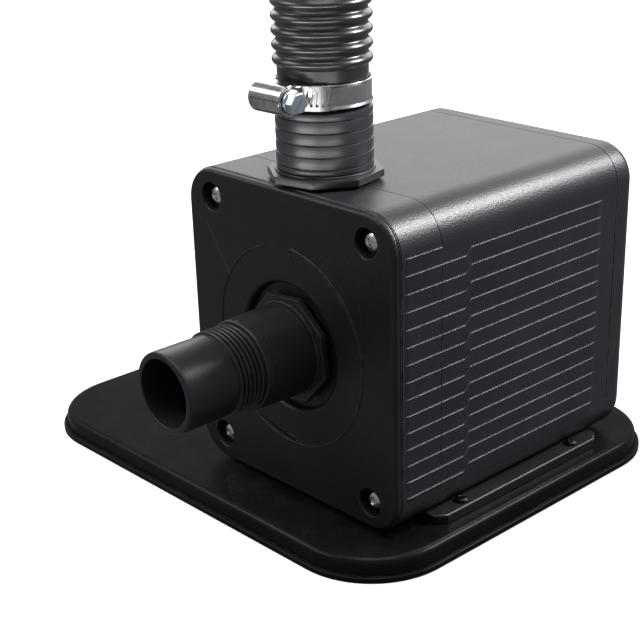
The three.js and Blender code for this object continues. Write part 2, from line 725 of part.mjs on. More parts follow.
function makeCan() {
  const disc = cylinderY(flangeDiscR, canStart, canStart + canFlange, wideRound);
  const spigot = cylinderY(spigotR, canStart - spigotDepth, canStart + 0.5, wideRound);
  const sealGroove = cut(
    cylinderY(spigotR + 1, canStart - 2.6, canStart - 0.4, wideRound),
    cylinderY(spigotR - 2, canStart - 3, canStart, wideRound),
  );
  const tube = cylinderY(canBoreR + canWall, canStart, canEnd + canCap, 36);
  const bore = cylinderY(canBoreR, canStart - spigotDepth - 1, canEnd, 36);
  const bushSeat = cut(
    cylinderY(bushR + gap + 1.8, rearBushStart + 0.6, canEnd + 0.5, 24),
    cylinderY(bushR + gap, 0, canEnd, 24),
  );
  const holes = atCasingScrews((x, z) => cylinderY(screwR + gap, 0, caseStart, smallRound, x, z));
  return union(cut(union(disc, spigot, tube), sealGroove, bore, ...holes), bushSeat);
}

function makeImpeller() {
  const impellerR = chamberR - voluteRoom;
  const shroudBack = canStart - spigotDepth - 1.2;
  const shroudFront = shroudBack - 2.6;
  const stem = cylinderY(stemR, rotorFront + 3, stemEnd, 28);
  const nose = cylinderY(stemR - 1.4, rotorFront, rotorFront + 3.5, 28);
  const shroud = cylinderY(impellerR, shroudFront, shroudBack, 44);
  const blades = [];
  for (let i = 0; i < bladeCount; i++) {
    const blade = box(stemR - 1.5, impellerR - 1, rotorFront + 2.5, shroudFront + 0.5, 3.6, 5.4);
    blades.push(blade.rotate([0, 360 * i / bladeCount, 0]));
  }
  const bore = cylinderY(shaftR + runningGap, 0, stemEnd + 1, 28);
  return cut(union(stem, nose, shroud, ...blades), bore);
}

const makeMagnet = () => cut(
  cylinderY(magnetR, magnetStart, magnetEnd, 32),
  cylinderY(stemR + gap, magnetStart - 1, magnetEnd + 1, 28),
);

// Torus-like seal along +Z.
function seal(majorR, minorR, sides = round) {
  const profile = [];
  const steps = 6;
  for (let i = 0; i < steps; i++) {
    const a = 2 * Math.PI * i / steps;
    profile.push([majorR + minorR * Math.cos(a), minorR * Math.sin(a)]);
  }
  profile.push(profile[0]);
  return turned(profile, sides);
}

// ---------------------------------------------------------------- motor

const caseHalf = bodyWidth / 2 - bodyWall - caseSideRoom;
const caseBottomZ = bodyWall + caseBottomRoom - bodyHeight / 2;
const caseTopZ = coreTop + 11;
const caseEnd = canEnd + canCap + 4;
const coreLegInner = canBoreR + canWall + legRoom;
const coreLegOuter = caseHalf - caseSpace - coilWall - bobbinWall - gap;
const yokeBottom = caseBottomZ + 6;
const yokeTop = yokeBottom + yokeHeight;
const coilTop = -poleHalf - 2;
const coilBottom = yokeTop + 2 * gap;
const coreFront = caseStart + coreSetback;
const coreBack = coreFront + coreLength;
const poleR = canBoreR + canWall + gap + 0.6;

function makeStatorCore() {
  const legs = [1, -1].map((side) => {
    const [x0, x1] = [side * coreLegInner, side * coreLegOuter].sort((a, b) => a - b);
    return box(x0, x1, coreFront, coreBack, yokeBottom, coreTop);
  });
  const poles = [1, -1].map((side) => {
    const [x0, x1] = [side * poleTip, side * (coreLegInner + 1)].sort((a, b) => a - b);
    return box(x0, x1, coreFront, coreBack, -poleHalf, poleHalf);
  });
  const yoke = box(-coreLegOuter, coreLegOuter, coreFront, coreBack, yokeBottom, yokeTop);
  return cut(union(...legs, ...poles, yoke), cylinderY(poleR, 0, coreBack + 5, 36));
}

// Coil former round one leg of the core: a square tube with a flange at each end.
function makeBobbin(side) {
  const inner = (grow) => [
    coreLegInner - gap - grow, coreLegOuter + gap + grow, coreFront - gap - grow, coreBack + gap + grow,
  ];
  const [x0, x1, y0, y1] = inner(bobbinWall);
  const [fx0, fx1, fy0, fy1] = inner(bobbinWall + coilWall);
  const tube = box(x0, x1, y0, y1, coilBottom, coilTop);
  const flanges = [[coilBottom, coilBottom + bobbinFlange], [coilTop - bobbinFlange, coilTop]]
    .map(([z0, z1]) => box(fx0, fx1, fy0, fy1, z0, z1));
  const [hx0, hx1, hy0, hy1] = inner(0);
  const former = cut(union(tube, ...flanges), box(hx0, hx1, hy0, hy1, coilBottom - 1, coilTop + 1));
  return side > 0 ? former : former.mirror([1, 0, 0]);
}

function makeCoil(side) {
  const grow = bobbinWall + gap;
  const outerGrow = bobbinWall + coilWall - 0.4;
  const winding = cut(
    box(coreLegInner - gap - outerGrow, coreLegOuter + gap + outerGrow,
      coreFront - gap - outerGrow, coreBack + gap + outerGrow,
      coilBottom + bobbinFlange + gap, coilTop - bobbinFlange - gap),
    box(coreLegInner - gap - grow, coreLegOuter + gap + grow,
      coreFront - gap - grow, coreBack + gap + grow, coilBottom, coilTop),
  );
  return side > 0 ? winding : winding.mirror([1, 0, 0]);
}

function caseOutline(inset) {
  const height = caseTopZ - caseBottomZ - 2 * inset;
  const middle = (caseTopZ + caseBottomZ) / 2;
  return roundedRectangle(2 * (caseHalf - inset), height, caseCorner - inset, 5)
    .map((p) => new THREE.Vector2(p.x, p.y + middle));
}

function makeMotorCase() {
  const cup = loft([
    { points: caseOutline(0), at: caseStart },
    { points: caseOutline(0), at: caseEnd },
  ], 'y');
  const flange = cylinderY(flangeDiscR, caseStart, caseStart + caseFlange, wideRound);
  const hollow = loft([
    { points: caseOutline(caseWall), at: caseStart - 1 },
    { points: caseOutline(caseWall), at: caseEnd - caseWall },
  ], 'y');
  const holes = atCasingScrews((x, z) => cylinderY(screwR + gap, 0, caseStart + caseFlange + 1, smallRound, x, z));
  const wireHole = cylinderY(wireHoleR, caseEnd - 5, caseEnd + 1, smallRound, 0, wireHoleZ);
  return cut(union(cup, flange), hollow, wireHole, ...holes);
}

function makePotting() {
  const front = coreFront + 4;
  const block = loft([
    { points: caseOutline(caseWall + gap), at: front },
    { points: caseOutline(caseWall + gap), at: caseEnd - caseWall - gap },
  ], 'y');
  const canRoom = cylinderY(canBoreR + canWall + gap, front - 1, canEnd + canCap + gap, 36);
  const coreRoom = [1, -1].map((side) => {
    const [x0, x1] = [side * (poleTip - 2), side * (coreLegOuter + gap)].sort((a, b) => a - b);
    return box(x0, x1, front - 1, coreBack + gap, coilTop - gap, coreTop + gap);
  });
  const windingRoom = [1, -1].map((side) => {
    const reach = gap + bobbinWall + coilWall + gap;
    const [x0, x1] = [side * (coreLegInner - reach), side * (coreLegOuter + reach)].sort((a, b) => a - b);
    return box(x0, x1, front - 1, coreBack + reach, coilBottom - gap, coilTop + gap);
  });
  const yokeRoom = box(-coreLegOuter - gap, coreLegOuter + gap, front - 1, coreBack + gap,
    yokeBottom - gap, coilBottom);
  const wireRoom = cylinderY(wireHoleR, front - 1, caseEnd, smallRound, 0, wireHoleZ);
  return cut(block, canRoom, ...coreRoom, ...windingRoom, yokeRoom, wireRoom);
}

function makeTerminalBlock() {
  const start = caseEnd + gap;
  const middle = (terminalBottom + terminalTop) / 2;
  const body = box(-terminalWidth / 2, terminalWidth / 2, start, start + terminalDepth, terminalBottom, terminalTop);
  const wells = [-terminalPitch, 0, terminalPitch].flatMap((x) => [
    cylinderY(2.4, start + 3, start + terminalDepth + 1, smallRound, x, middle),
    cylinderZ(1.5, middle, terminalTop + 1, smallRound, x, start + 6),
  ]);
  return cut(body, ...wells);
}

// ---------------------------------------------------------------- cable gland

const glandSeat = coverEnd + gap;
const glandZ = glandInset - bodyHeight / 2;

const glandNeckR = glandR - 0.4;                    // outside of the gland's clamping end
const glandHexR = glandR + 3;
const glandHexHeight = 4.2;
const nutBoreR = glandNeckR + gap;

function makeGlandBody() {
  const seatR = glandBore + 1;
  const sleeve = turned([
    [glandBore, -glandReach], [glandR, -glandReach], [glandR, 0.2], [glandNeckR, 0.2], [glandNeckR, 14],
    [glandNeckR - 0.6, 14.6], [seatR, 14.6], [seatR, 8], [glandBore, 7], [glandBore, -glandReach],
  ], 32);
  const hexagon = new THREE.CylinderGeometry(glandHexR, glandHexR, glandHexHeight, 6)
    .rotateX(Math.PI / 2).translate(0, 0, glandHexHeight / 2);
  const hex = cut(solid(hexagon), cylinderZ(glandBore + 0.4, -1, glandHexHeight + 1, 32));
  return facingRear(union(sleeve, hex)).translate([0, glandSeat, glandZ]);
}

function makeGlandNut() {
  const start = glandHexHeight + 0.4;
  const mouthR = glandBore - 0.8;
  const cap = turned([
    [nutBoreR, start], [nutBoreR + 2.1, start], [nutBoreR + 2.1, 12], [nutBoreR + 1.3, 15.5],
    [nutBoreR - 0.5, 17.4], [mouthR, 17.4], [mouthR, 16.2], [nutBoreR - 0.9, 15.2], [nutBoreR, 15], [nutBoreR, start],
  ], 24);
  const gripHeight = 6.4;
  const hexagon = new THREE.CylinderGeometry(nutBoreR + 2.9, nutBoreR + 2.9, gripHeight, 6)
    .rotateX(Math.PI / 2).translate(0, 0, start + gripHeight / 2);
  const grip = cut(solid(hexagon), cylinderZ(nutBoreR + 0.4, 0, start + gripHeight + 1, 24));
  return facingRear(union(cap, grip)).translate([0, glandSeat, glandZ]);
}

function makeGlandSeal() {
  const innerR = glandBore - 1.6;
  const outerR = glandBore + 0.6;
  const ring = turned([
    [innerR, 8.8], [outerR, 8.8], [outerR, 13.6], [outerR - 0.8, 14.6], [innerR, 14.6], [innerR, 8.8],
  ], 24);
  return facingRear(ring).translate([0, glandSeat, glandZ]);
}

function makeLockNut() {
  const thickness = 4;
  const inside = coverEnd - bodyWall - gap;
  return cut(
    cylinderY(glandR + 3.6, inside - thickness, inside, 6, 0, glandZ),
    cylinderY(glandR + gap, inside - thickness - 1, inside + 1, 32, 0, glandZ),
  );
}

// ---------------------------------------------------------------- assembly

const object = new THREE.Group();
object.add(part('base_plate', makeBasePlate(), platePlastic));

const pump = new THREE.Group();
pump.position.set(pumpX, frontInset - plateDepth / 2, axisHeight);
object.add(pump);
const add = (name, body, material) => pump.add(part(name, body, material));

add('mounting_rail_left', makeRail(-1), platePlastic);
add('mounting_rail_right', makeRail(1), platePlastic);
railScrewPlaces.forEach(([x, y], i) => {
  const screw = panScrew(railScrewHole - gap, plateHeight - 2 + railTop - plateTop - 2, 2.6, 1.4);
  add(`rail_screw_${i + 1}`, screw.translate([x, y, railTop + gap]), zinc);
});

add('front_panel', makeFrontPanel(), blackPlastic);
add('front_shell', makeFrontShell(), blackPlastic);
add('mid_shell', makeMidShell(), blackPlastic);
add('rear_cover', makeRearCover(), blackPlastic);

fourCorners.forEach(([sx, sz], i) => {
  const front = facingFront(panScrew(screwR, frontShellDepth + panelScrewBite, headR, headHeight));
  add(`panel_screw_${i + 1}`, front.translate([sx * screwX, counterboreDepth - gap, sz * screwZ]), zinc);
  const rearLength = coverSeat + gap - midEnd + coverScrewBite;
  const rear = facingRear(panScrew(screwR, rearLength, headR, headHeight));
  add(`cover_screw_${i + 1}`, rear.translate([sx * screwX, coverSeat + gap, sz * screwZ]), zinc);
});

add('inlet_tail', facingFront(makeTail(true, 27)).translate([0, inletSeat, 0]), blackPlastic);
add('inlet_seal', facingFront(seal(tailNeckR + 1.4, 0.5)).translate([0, inletSeat + sealRoom / 2, 0]), darkRubber);
add('outlet_tail', makeTail(false, -10).translate([0, outletY, outletSeat]), blackPlastic);
add('outlet_seal', seal(portR + 2, 0.45).translate([0, outletY, bodyTop + 0.6]), darkRubber);

add('outlet_hose', makeHose(), hosePlastic);
const onHose = (body) => body.rotate([0, 0, clampAngle]).translate([0, outletY, clampZ]);
add('clamp_band', onHose(makeClampBand()), stainless);
add('clamp_housing', onHose(makeClampHousing()), stainless);
add('clamp_screw', onHose(makeClampScrew().translate([barrelX, 0, 0])), zinc);

add('casing_front', makeCasingFront(), blackPlastic);
add('casing_can', makeCan(), blackPlastic);
add('casing_seal', facingRear(seal(spigotR - 0.9, 0.55, wideRound)).translate([0, canStart - 1.5, 0]), darkRubber);
atCasingScrews((x, z) => [x, z]).forEach(([x, z], i) => {
  const shank = casingFlange + canFlange + caseFlange + 3 * gap + 1;
  const screw = facingFront(panScrew(screwR, shank, headR - 0.4, headHeight));
  add(`casing_screw_${i + 1}`, screw.translate([x, casingJoint - casingFlange - gap, z]), zinc);
});
add('impeller', makeImpeller(), whitePlastic);
add('rotor_magnet', makeMagnet(), ferrite);
add('pump_shaft', cylinderY(shaftR, frontBushStart, rearBushStart + 6, 28), ceramic);
const makeBush = (y0, y1) => cut(cylinderY(bushR, y0, y1, 24), cylinderY(bushBoreR, y0 - 1, y1 + 1, 28));
add('front_bush', makeBush(frontBushStart, frontBushEnd), darkRubber);
add('rear_bush', makeBush(rearBushStart, canEnd - gap), darkRubber);

add('motor_case', makeMotorCase(), blackPlastic);
add('stator_core', makeStatorCore(), steelLaminations);
add('bobbin_left', makeBobbin(-1), whitePlastic);
add('bobbin_right', makeBobbin(1), whitePlastic);
add('coil_left', makeCoil(-1), copper);
add('coil_right', makeCoil(1), copper);
add('potting_resin', makePotting(), resin);
add('terminal_block', makeTerminalBlock(), whitePlastic);

add('gland_body', makeGlandBody(), blackPlastic);
add('gland_nut', makeGlandNut(), blackPlastic);
add('gland_seal', makeGlandSeal(), darkRubber);
add('gland_locknut', makeLockNut(), blackPlastic);

export default object;
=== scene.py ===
from math import acos, atan2, cos, pi, radians, sin, tan

import bmesh
import bpy
from mathutils import Matrix, Vector


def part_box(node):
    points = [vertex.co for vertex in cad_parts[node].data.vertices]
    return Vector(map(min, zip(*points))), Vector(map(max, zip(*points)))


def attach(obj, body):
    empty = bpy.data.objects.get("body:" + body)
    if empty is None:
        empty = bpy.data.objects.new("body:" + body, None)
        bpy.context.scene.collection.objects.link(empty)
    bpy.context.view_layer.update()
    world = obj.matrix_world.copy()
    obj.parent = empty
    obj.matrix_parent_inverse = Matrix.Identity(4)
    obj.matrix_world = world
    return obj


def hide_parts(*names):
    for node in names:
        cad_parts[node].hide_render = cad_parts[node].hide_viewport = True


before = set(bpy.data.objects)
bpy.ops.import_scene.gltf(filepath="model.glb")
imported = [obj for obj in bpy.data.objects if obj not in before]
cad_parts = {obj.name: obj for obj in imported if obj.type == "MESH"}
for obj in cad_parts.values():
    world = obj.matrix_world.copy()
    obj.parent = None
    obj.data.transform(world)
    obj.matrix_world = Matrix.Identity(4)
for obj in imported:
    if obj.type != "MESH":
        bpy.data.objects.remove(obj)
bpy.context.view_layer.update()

# ---- Base plate ---------------------------------------------------------------------------------
# Shallow black ABS tray that the pump stands on: a foot lip runs round it, the top edge is rounded,
# and the underside is cored out between two crossing ribs. Injection moulded in one shot.

MM = 0.001


def rounded_line(points, steps=6, closed=False):
    """Straight runs between points, each corner rounded by its third number."""
    line = []
    last = len(points) - 1
    for i, point in enumerate(points):
        here = Vector(point[:2])
        radius = point[2] if len(point) > 2 else 0
        if radius == 0 or (not closed and i in (0, last)):
            line.append((here.x, here.y))
            continue
        back = (Vector(points[i - 1][:2]) - here).normalized()
        on = (Vector(points[(i + 1) % len(points)][:2]) - here).normalized()
        half = back.angle(on) / 2
        middle = here + (back + on).normalized() * (radius / sin(half))
        first = here + back * (radius / tan(half)) - middle
        end = here + on * (radius / tan(half)) - middle
        start = atan2(first.y, first.x)
        sweep = (atan2(end.y, end.x) - start + pi) % (2 * pi) - pi
        for k in range(steps + 1):
            a = start + sweep * k / steps
            line.append((middle.x + radius * cos(a), middle.y + radius * sin(a)))
    return line


def rounded_box(width, height, radius, steps=6, centre=(0, 0)):
    """Outline of a box with rounded corners, anticlockwise."""
    x, y = width / 2, height / 2
    corners = [(x, -y), (x, y), (-x, y), (-x, -y)]
    return rounded_line([(px + centre[0], py + centre[1], radius) for px, py in corners], steps, True)


def skin(rings, closed=False):
    """A surface through rings of equal point count, capped at both ends unless it closes on itself."""
    bm = bmesh.new()
    loops = [[bm.verts.new(point) for point in ring] for ring in rings]
    count = len(rings[0])
    for low, high in zip(loops, loops[1:] + loops[:1] if closed else loops[1:]):
        for k in range(count):
            j = (k + 1) % count
            bm.faces.new((low[k], low[j], high[j], high[k]))
    if not closed:
        bm.faces.new(list(reversed(loops[0])))
        bm.faces.new(loops[-1])
    return bm


def turned(line, sides=96, closed=True):
    """A turned piece along +Z from (radius, height) points; points on the axis close it."""
    bm = bmesh.new()
    rings = []
    for radius, height in line:
        if radius < 1e-6:
            rings.append([bm.verts.new((0, 0, height))] * sides)
        else:
            angles = [2 * pi * k / sides for k in range(sides)]
            rings.append([bm.verts.new((radius * cos(a), radius * sin(a), height)) for a in angles])
    for low, high in zip(rings, rings[1:] + rings[:1] if closed else rings[1:]):
        for k in range(sides):
            j = (k + 1) % sides
            corners = list(dict.fromkeys((low[k], low[j], high[j], high[k])))
            if len(corners) > 2:
                bm.faces.new(corners)
    return bm


def moved(bm, *matrices):
    """The same mesh after each matrix in turn."""
    for matrix in matrices:
        bmesh.ops.transform(bm, matrix=matrix, verts=bm.verts)
        if matrix.determinant() < 0:
            bmesh.ops.reverse_faces(bm, faces=bm.faces)
    return bm


def at(x, y, z):
    """A shift."""
    return Matrix.Translation((x, y, z))


def together(*meshes):
    """Meshes that don't touch, as one."""
    whole = bmesh.new()
    for bm in meshes:
        spare = bpy.data.meshes.new("spare")
        bm.to_mesh(spare)
        bm.free()
        whole.from_mesh(spare)
        bpy.data.meshes.remove(spare)
    return whole


def carve(body, *tools, operation="DIFFERENCE"):
    """An exact boolean of the body with each tool in turn."""
    things = []
    for bm in (body, *tools):
        bmesh.ops.recalc_face_normals(bm, faces=bm.faces)
        mesh = bpy.data.meshes.new("blank")
        bm.to_mesh(mesh)
        bm.free()
        thing = bpy.data.objects.new("blank", mesh)
        bpy.context.scene.collection.objects.link(thing)
        things.append(thing)
    for tool in things[1:]:
        step = things[0].modifiers.new("cut", "BOOLEAN")
        step.operation = operation
        step.solver = "EXACT"
        step.object = tool
    bpy.context.view_layer.update()
    made = things[0].evaluated_get(bpy.context.evaluated_depsgraph_get())
    result = bmesh.new()
    result.from_mesh(made.to_mesh())
    made.to_mesh_clear()
    for thing in things:
        mesh = thing.data
        bpy.data.objects.remove(thing)
        bpy.data.meshes.remove(mesh)
    return result


def piece(name, bm, material, stands_for, place, body="pump", edge=0.0, crease=32):
    """Finishes a mesh as a named piece that rides on its body and stands for its CAD node."""
    bmesh.ops.remove_doubles(bm, verts=bm.verts, dist=1e-4)
    bmesh.ops.recalc_face_normals(bm, faces=bm.faces)
    bmesh.ops.transform(bm, matrix=place, verts=bm.verts)
    mesh = bpy.data.meshes.new(name)
    bm.to_mesh(mesh)
    bm.free()
    mesh.shade_smooth()
    mesh.set_sharp_from_angle(angle=radians(crease))
    mesh.materials.append(material)
    made = bpy.data.objects.new(name, mesh)
    bpy.context.scene.collection.objects.link(made)
    if edge:
        soften = made.modifiers.new("soft edges", "BEVEL")
        soften.width = edge * MM
        soften.segments = 2
        soften.limit_method = "ANGLE"
        soften.angle_limit = radians(crease)
        soften.use_clamp_overlap = True
        soften.harden_normals = False
    even = made.modifiers.new("even shading", "WEIGHTED_NORMAL")
    even.keep_sharp = True
    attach(made, body)
    if stands_for:
        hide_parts(stands_for)
    return made


def wired(tree, kind, inputs=None, **settings):
    """A node with its settings, its links and its plain input values."""
    made = tree.nodes.new(kind)
    for name, value in settings.items():
        setattr(made, name, value)
    for socket, value in (inputs or {}).items():
        if isinstance(value, bpy.types.NodeSocket):
            tree.links.new(value, made.inputs[socket])
        else:
            made.inputs[socket].default_value = value
    return made


def maths(tree, operation, *values, clamp=False):
    """One arithmetic node's result."""
    made = wired(tree, "ShaderNodeMath", dict(enumerate(values)), operation=operation, use_clamp=clamp)
    return made.outputs[0]


def noise(tree, place, scale, **settings):
    """A noise pattern's value; its settings are named as the sockets are."""
    inputs = {"Vector": place, "Scale": scale, **{k.capitalize(): v for k, v in settings.items()}}
    return wired(tree, "ShaderNodeTexNoise", inputs).outputs[0]


def stretched(tree, value, low=None, high=None, to_low=None, to_high=None):
    """A value spread from one range to another; what isn't given is 0 or 1."""
    ends = {"From Min": low, "From Max": high, "To Min": to_low, "To Max": to_high}
    inputs = {"Value": value, **{k: v for k, v in ends.items() if v is not None}}
    return wired(tree, "ShaderNodeMapRange", inputs).outputs[0]


def blended(tree, share, first, second):
    """Two colours mixed; each is a triple or another node's colour."""
    inputs = {0: share}
    for socket, colour in ((6, first), (7, second)):
        inputs[socket] = (*colour, 1) if isinstance(colour, tuple) else colour
    return wired(tree, "ShaderNodeMix", inputs, data_type="RGBA").outputs[2]


def object_place(tree):
    """The point on the piece, in its own space."""
    return wired(tree, "ShaderNodeTexCoord").outputs["Object"]


def finish(name, build, **shader):
    """A material whose colour, roughness and bump come from build, its constants on the shader."""
    material = bpy.data.materials.new(name)
    material.use_nodes = True
    tree = material.node_tree
    surface = tree.nodes["Principled BSDF"]
    colour, roughness, bump = build(tree)
    tree.links.new(colour, surface.inputs["Base Color"])
    tree.links.new(roughness, surface.inputs["Roughness"])
    tree.links.new(bump.outputs[0], surface.inputs["Normal"])
    for socket, value in shader.items():
        surface.inputs[socket.replace("_", " ")].default_value = value
    return material


def group_of(name, inputs, outputs):
    """An empty node group with number inputs (a vector where the value is a triple) and its outputs."""
    tree = bpy.data.node_groups.new(name, "ShaderNodeTree")
    for label, value in inputs.items():
        kind = "NodeSocketVector" if isinstance(value, tuple) else "NodeSocketFloat"
        tree.interface.new_socket(label, in_out="INPUT", socket_type=kind).default_value = value
    for label in outputs:
        tree.interface.new_socket(label, in_out="OUTPUT", socket_type="NodeSocketFloat")
    return tree, tree.nodes.new("NodeGroupInput").outputs, tree.nodes.new("NodeGroupOutput").inputs


# Spark-eroded mould grain: fine pits over a broader unevenness, and a slow mottle in the colour.
moulded_grain, given, result = group_of("moulded grain", {"Size": 0.0006}, ("Height", "Mottle", "Fleck"))
tree = moulded_grain
here = object_place(tree)
fine = maths(tree, "DIVIDE", 1.0, given["Size"])
pits = wired(tree, "ShaderNodeTexVoronoi", {"Vector": here, "Scale": fine}, feature="SMOOTH_F1")
grit = noise(tree, here, fine, detail=3.0, roughness=0.6)
slow = noise(tree, here, 45.0, detail=4.0, roughness=0.55)
half_pits = maths(tree, "MULTIPLY", pits.outputs["Distance"], 0.5)
half_grit = maths(tree, "MULTIPLY", grit, 0.5)
tree.links.new(maths(tree, "ADD", half_pits, half_grit), result["Height"])
tree.links.new(slow, result["Mottle"])
tree.links.new(grit, result["Fleck"])

# Edges rubbed by handling: a mask where the surface turns sharply, broken up by noise.
rubbed_edges, given, result = group_of("rubbed edges", {"Width": 0.0008, "Patch": 260.0}, ("Mask",))
tree = rubbed_edges
here = object_place(tree)
true_normal = wired(tree, "ShaderNodeNewGeometry").outputs["Normal"]
eased = wired(tree, "ShaderNodeBevel", {"Radius": given["Width"]}, samples=6).outputs["Normal"]
agree = wired(tree, "ShaderNodeVectorMath", {0: true_normal, 1: eased}, operation="DOT_PRODUCT")
sharp = stretched(tree, agree.outputs["Value"], 0.995, 0.86)
broken = stretched(tree, noise(tree, here, given["Patch"], detail=4.0), 0.38, 0.62)
tree.links.new(maths(tree, "MULTIPLY", sharp, broken, clamp=True), result["Mask"])

# Dust settled on faces that look upwards, thicker in some places than in others.
settled_dust, given, result = group_of("settled dust", {"Patch": 70.0}, ("Mask",))
tree = settled_dust
here = object_place(tree)
facing = wired(tree, "ShaderNodeSeparateXYZ", {0: wired(tree, "ShaderNodeNewGeometry").outputs["Normal"]})
level = stretched(tree, facing.outputs["Z"], 0.55, 0.98)
drift = stretched(tree, noise(tree, here, given["Patch"], detail=6.0, roughness=0.65), 0.35, 0.75)
specks = stretched(tree, noise(tree, here, 2600.0, detail=1.0), 0.45, 0.72)
amount = maths(tree, "MULTIPLY", drift, specks)
tree.links.new(maths(tree, "MULTIPLY", level, amount, clamp=True), result["Mask"])


def placed(tree, group, **values):
    """A node group in a material, with its own values."""
    inputs = {k.capitalize(): v for k, v in values.items()}
    return wired(tree, "ShaderNodeGroup", inputs, node_tree=group).outputs


edge_wear = 0.55
dust_colour = (0.32, 0.31, 0.29)


def moulded(name, deep, pale, rough, grain, depth, rubbed=(0.09, 0.09, 0.095), dusty=0.12, **shader):
    """Moulded plastic: two tones mottled together, grain, rubbed edges and a little dust."""
    def build(tree):
        cloth = placed(tree, moulded_grain, size=grain)
        worn = maths(tree, "MULTIPLY", placed(tree, rubbed_edges)["Mask"], edge_wear)
        film = maths(tree, "MULTIPLY", placed(tree, settled_dust)["Mask"], dusty)
        body = blended(tree, stretched(tree, cloth["Mottle"], 0.3, 0.7), deep, pale)
        colour = blended(tree, film, blended(tree, worn, body, rubbed), dust_colour)
        even = stretched(tree, cloth["Fleck"], to_low=rough - 0.06, to_high=rough + 0.08)
        bump_inputs = {"Strength": 1.0, "Distance": depth * MM, "Height": cloth["Height"]}
        bump = wired(tree, "ShaderNodeBump", bump_inputs)
        return colour, even, bump
    return finish(name, build, **shader)


plate_low, plate_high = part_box("base_plate")
plate_centre = (plate_low + plate_high) / 2
plate_place = at(plate_centre.x, plate_centre.y, plate_low.z) @ Matrix.Scale(MM, 4)
plate_width, plate_depth, plate_height = (plate_high - plate_low) / MM
plate_corner = 36
lip_height, lip_reach = 2.6, 1.6
plate_edge = 2.8
plate_wall, plate_rib, pocket_height = 5, 4, 3.8
plate_draft = 0.5

edge_line = rounded_line([
    (0.4, 0), (0, 0.4), (0, lip_height, 0.5), (lip_reach, lip_height, 0.15),
    (lip_reach + 0.15, lip_height - 0.3), (lip_reach + 0.35, lip_height + 0.1),
    (lip_reach + plate_draft, plate_height, plate_edge), (lip_reach + 5, plate_height),
], 7)
plate_rings = []
for inset, height in edge_line:
    outline = rounded_box(plate_width - 2 * inset, plate_depth - 2 * inset, plate_corner - inset, 18)
    plate_rings.append([(x, y, height) for x, y in outline])
plate = skin(plate_rings)
half_rib = plate_rib / 2
far_x, far_y = plate_width / 2 - plate_wall, plate_depth / 2 - plate_wall
pocket_line = rounded_line([
    (half_rib, half_rib, 9), (far_x, half_rib, 3),
    (far_x, far_y, plate_corner - plate_wall), (half_rib, far_y, 3),
], 8, True)
pockets = []
for sx, sy in ((1, 1), (-1, 1), (-1, -1), (1, -1)):
    pocket = skin([[(x * sx, y * sy, z) for x, y in pocket_line] for z in (-1, pocket_height)])
    pockets.append(pocket)
plate = carve(plate, together(*pockets))

plate_plastic = moulded("plate plastic", (0.0052, 0.0052, 0.0058), (0.0078, 0.0078, 0.0086),
                        0.3, 0.0008, 0.06, Specular_IOR_Level=0.15)
piece("plate_tray", plate, plate_plastic, "base_plate", plate_place)

# ---- Mounting rails and their screws ------------------------------------------------------------
# Two low ABS rails hooked under the pump's lower edges and screwed down to the plate through slots.
# The noses taper, the top edges are rounded; the pan-head screws are steel with a black zinc plate.

panel_low, panel_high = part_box("front_panel")
panel_centre = (panel_low + panel_high) / 2
pump_place = at(panel_centre.x, panel_low.y, panel_centre.z) @ Matrix.Scale(MM, 4)


def span(node):
    """A CAD node's lowest and highest corners in the pump's own millimetres."""
    low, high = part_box(node)
    back = pump_place.inverted()
    return back @ low, back @ high


body_width, body_height = (panel_high.x - panel_low.x) / MM, (panel_high.z - panel_low.z) / MM
body_corner = 15
gap = 0.3
rail_low, rail_high = span("mounting_rail_right")
rail_nose, nose_length = 4, 5
arc_centre = (body_width / 2 - body_corner, -(body_height / 2 - body_corner))
rail_hole = 2.2
screw_low, screw_high = span("rail_screw_4")
rail_screw_x = (screw_low.x + screw_high.x) / 2


def plug_line(radius, low, high):
    """Outline of a plain round plug, for holes and posts."""
    return [(0, low), (radius, low), (radius, high), (0, high)]


def rail_outline(reach):
    """Section of the right rail: flat foot, rounded shoulder, hollow for the body's corner."""
    radius = body_corner + gap
    start = -pi / 2
    end = -pi / 2 + acos((arc_centre[1] - rail_high.z) / radius)
    hollow = []
    for k in range(9):
        a = end + (start - end) * k / 8
        hollow.append((arc_centre[0] + radius * cos(a), arc_centre[1] + radius * sin(a)))
    outside = rounded_line([(rail_low.x, rail_low.z), (reach, rail_low.z, 0.2),
                            (reach, rail_high.z, 0.9), hollow[0]], 5)
    return outside[:-1] + hollow + [(rail_low.x, hollow[-1][1])]


rail_plastic = moulded("rail plastic", (0.0065, 0.0065, 0.0072), (0.0095, 0.0095, 0.0105),
                       0.4, 0.0006, 0.02, Specular_IOR_Level=0.22)
for side, rail_name in ((1, "right"), (-1, "left")):
    stations = []
    for y, tuck in ((rail_low.y, 1), (rail_low.y + 0.4, 0.8), (rail_low.y + nose_length, 0),
                    (rail_high.y - nose_length, 0), (rail_high.y - 0.4, 0.8), (rail_high.y, 1)):
        stations.append([(x * side, y, z) for x, z in rail_outline(rail_high.x - rail_nose * tuck)])
    rail = skin(stations)
    holes = []
    for screw in ("rail_screw_3", "rail_screw_4"):
        low, high = span(screw)
        hole = turned(plug_line(rail_hole, -3, 3), 40, False)
        holes.append(moved(hole, at(side * rail_screw_x, (low.y + high.y) / 2, rail_high.z)))
    piece("rail_" + rail_name, carve(rail, together(*holes)), rail_plastic,
          "mounting_rail_" + rail_name, pump_place, edge=0.18)


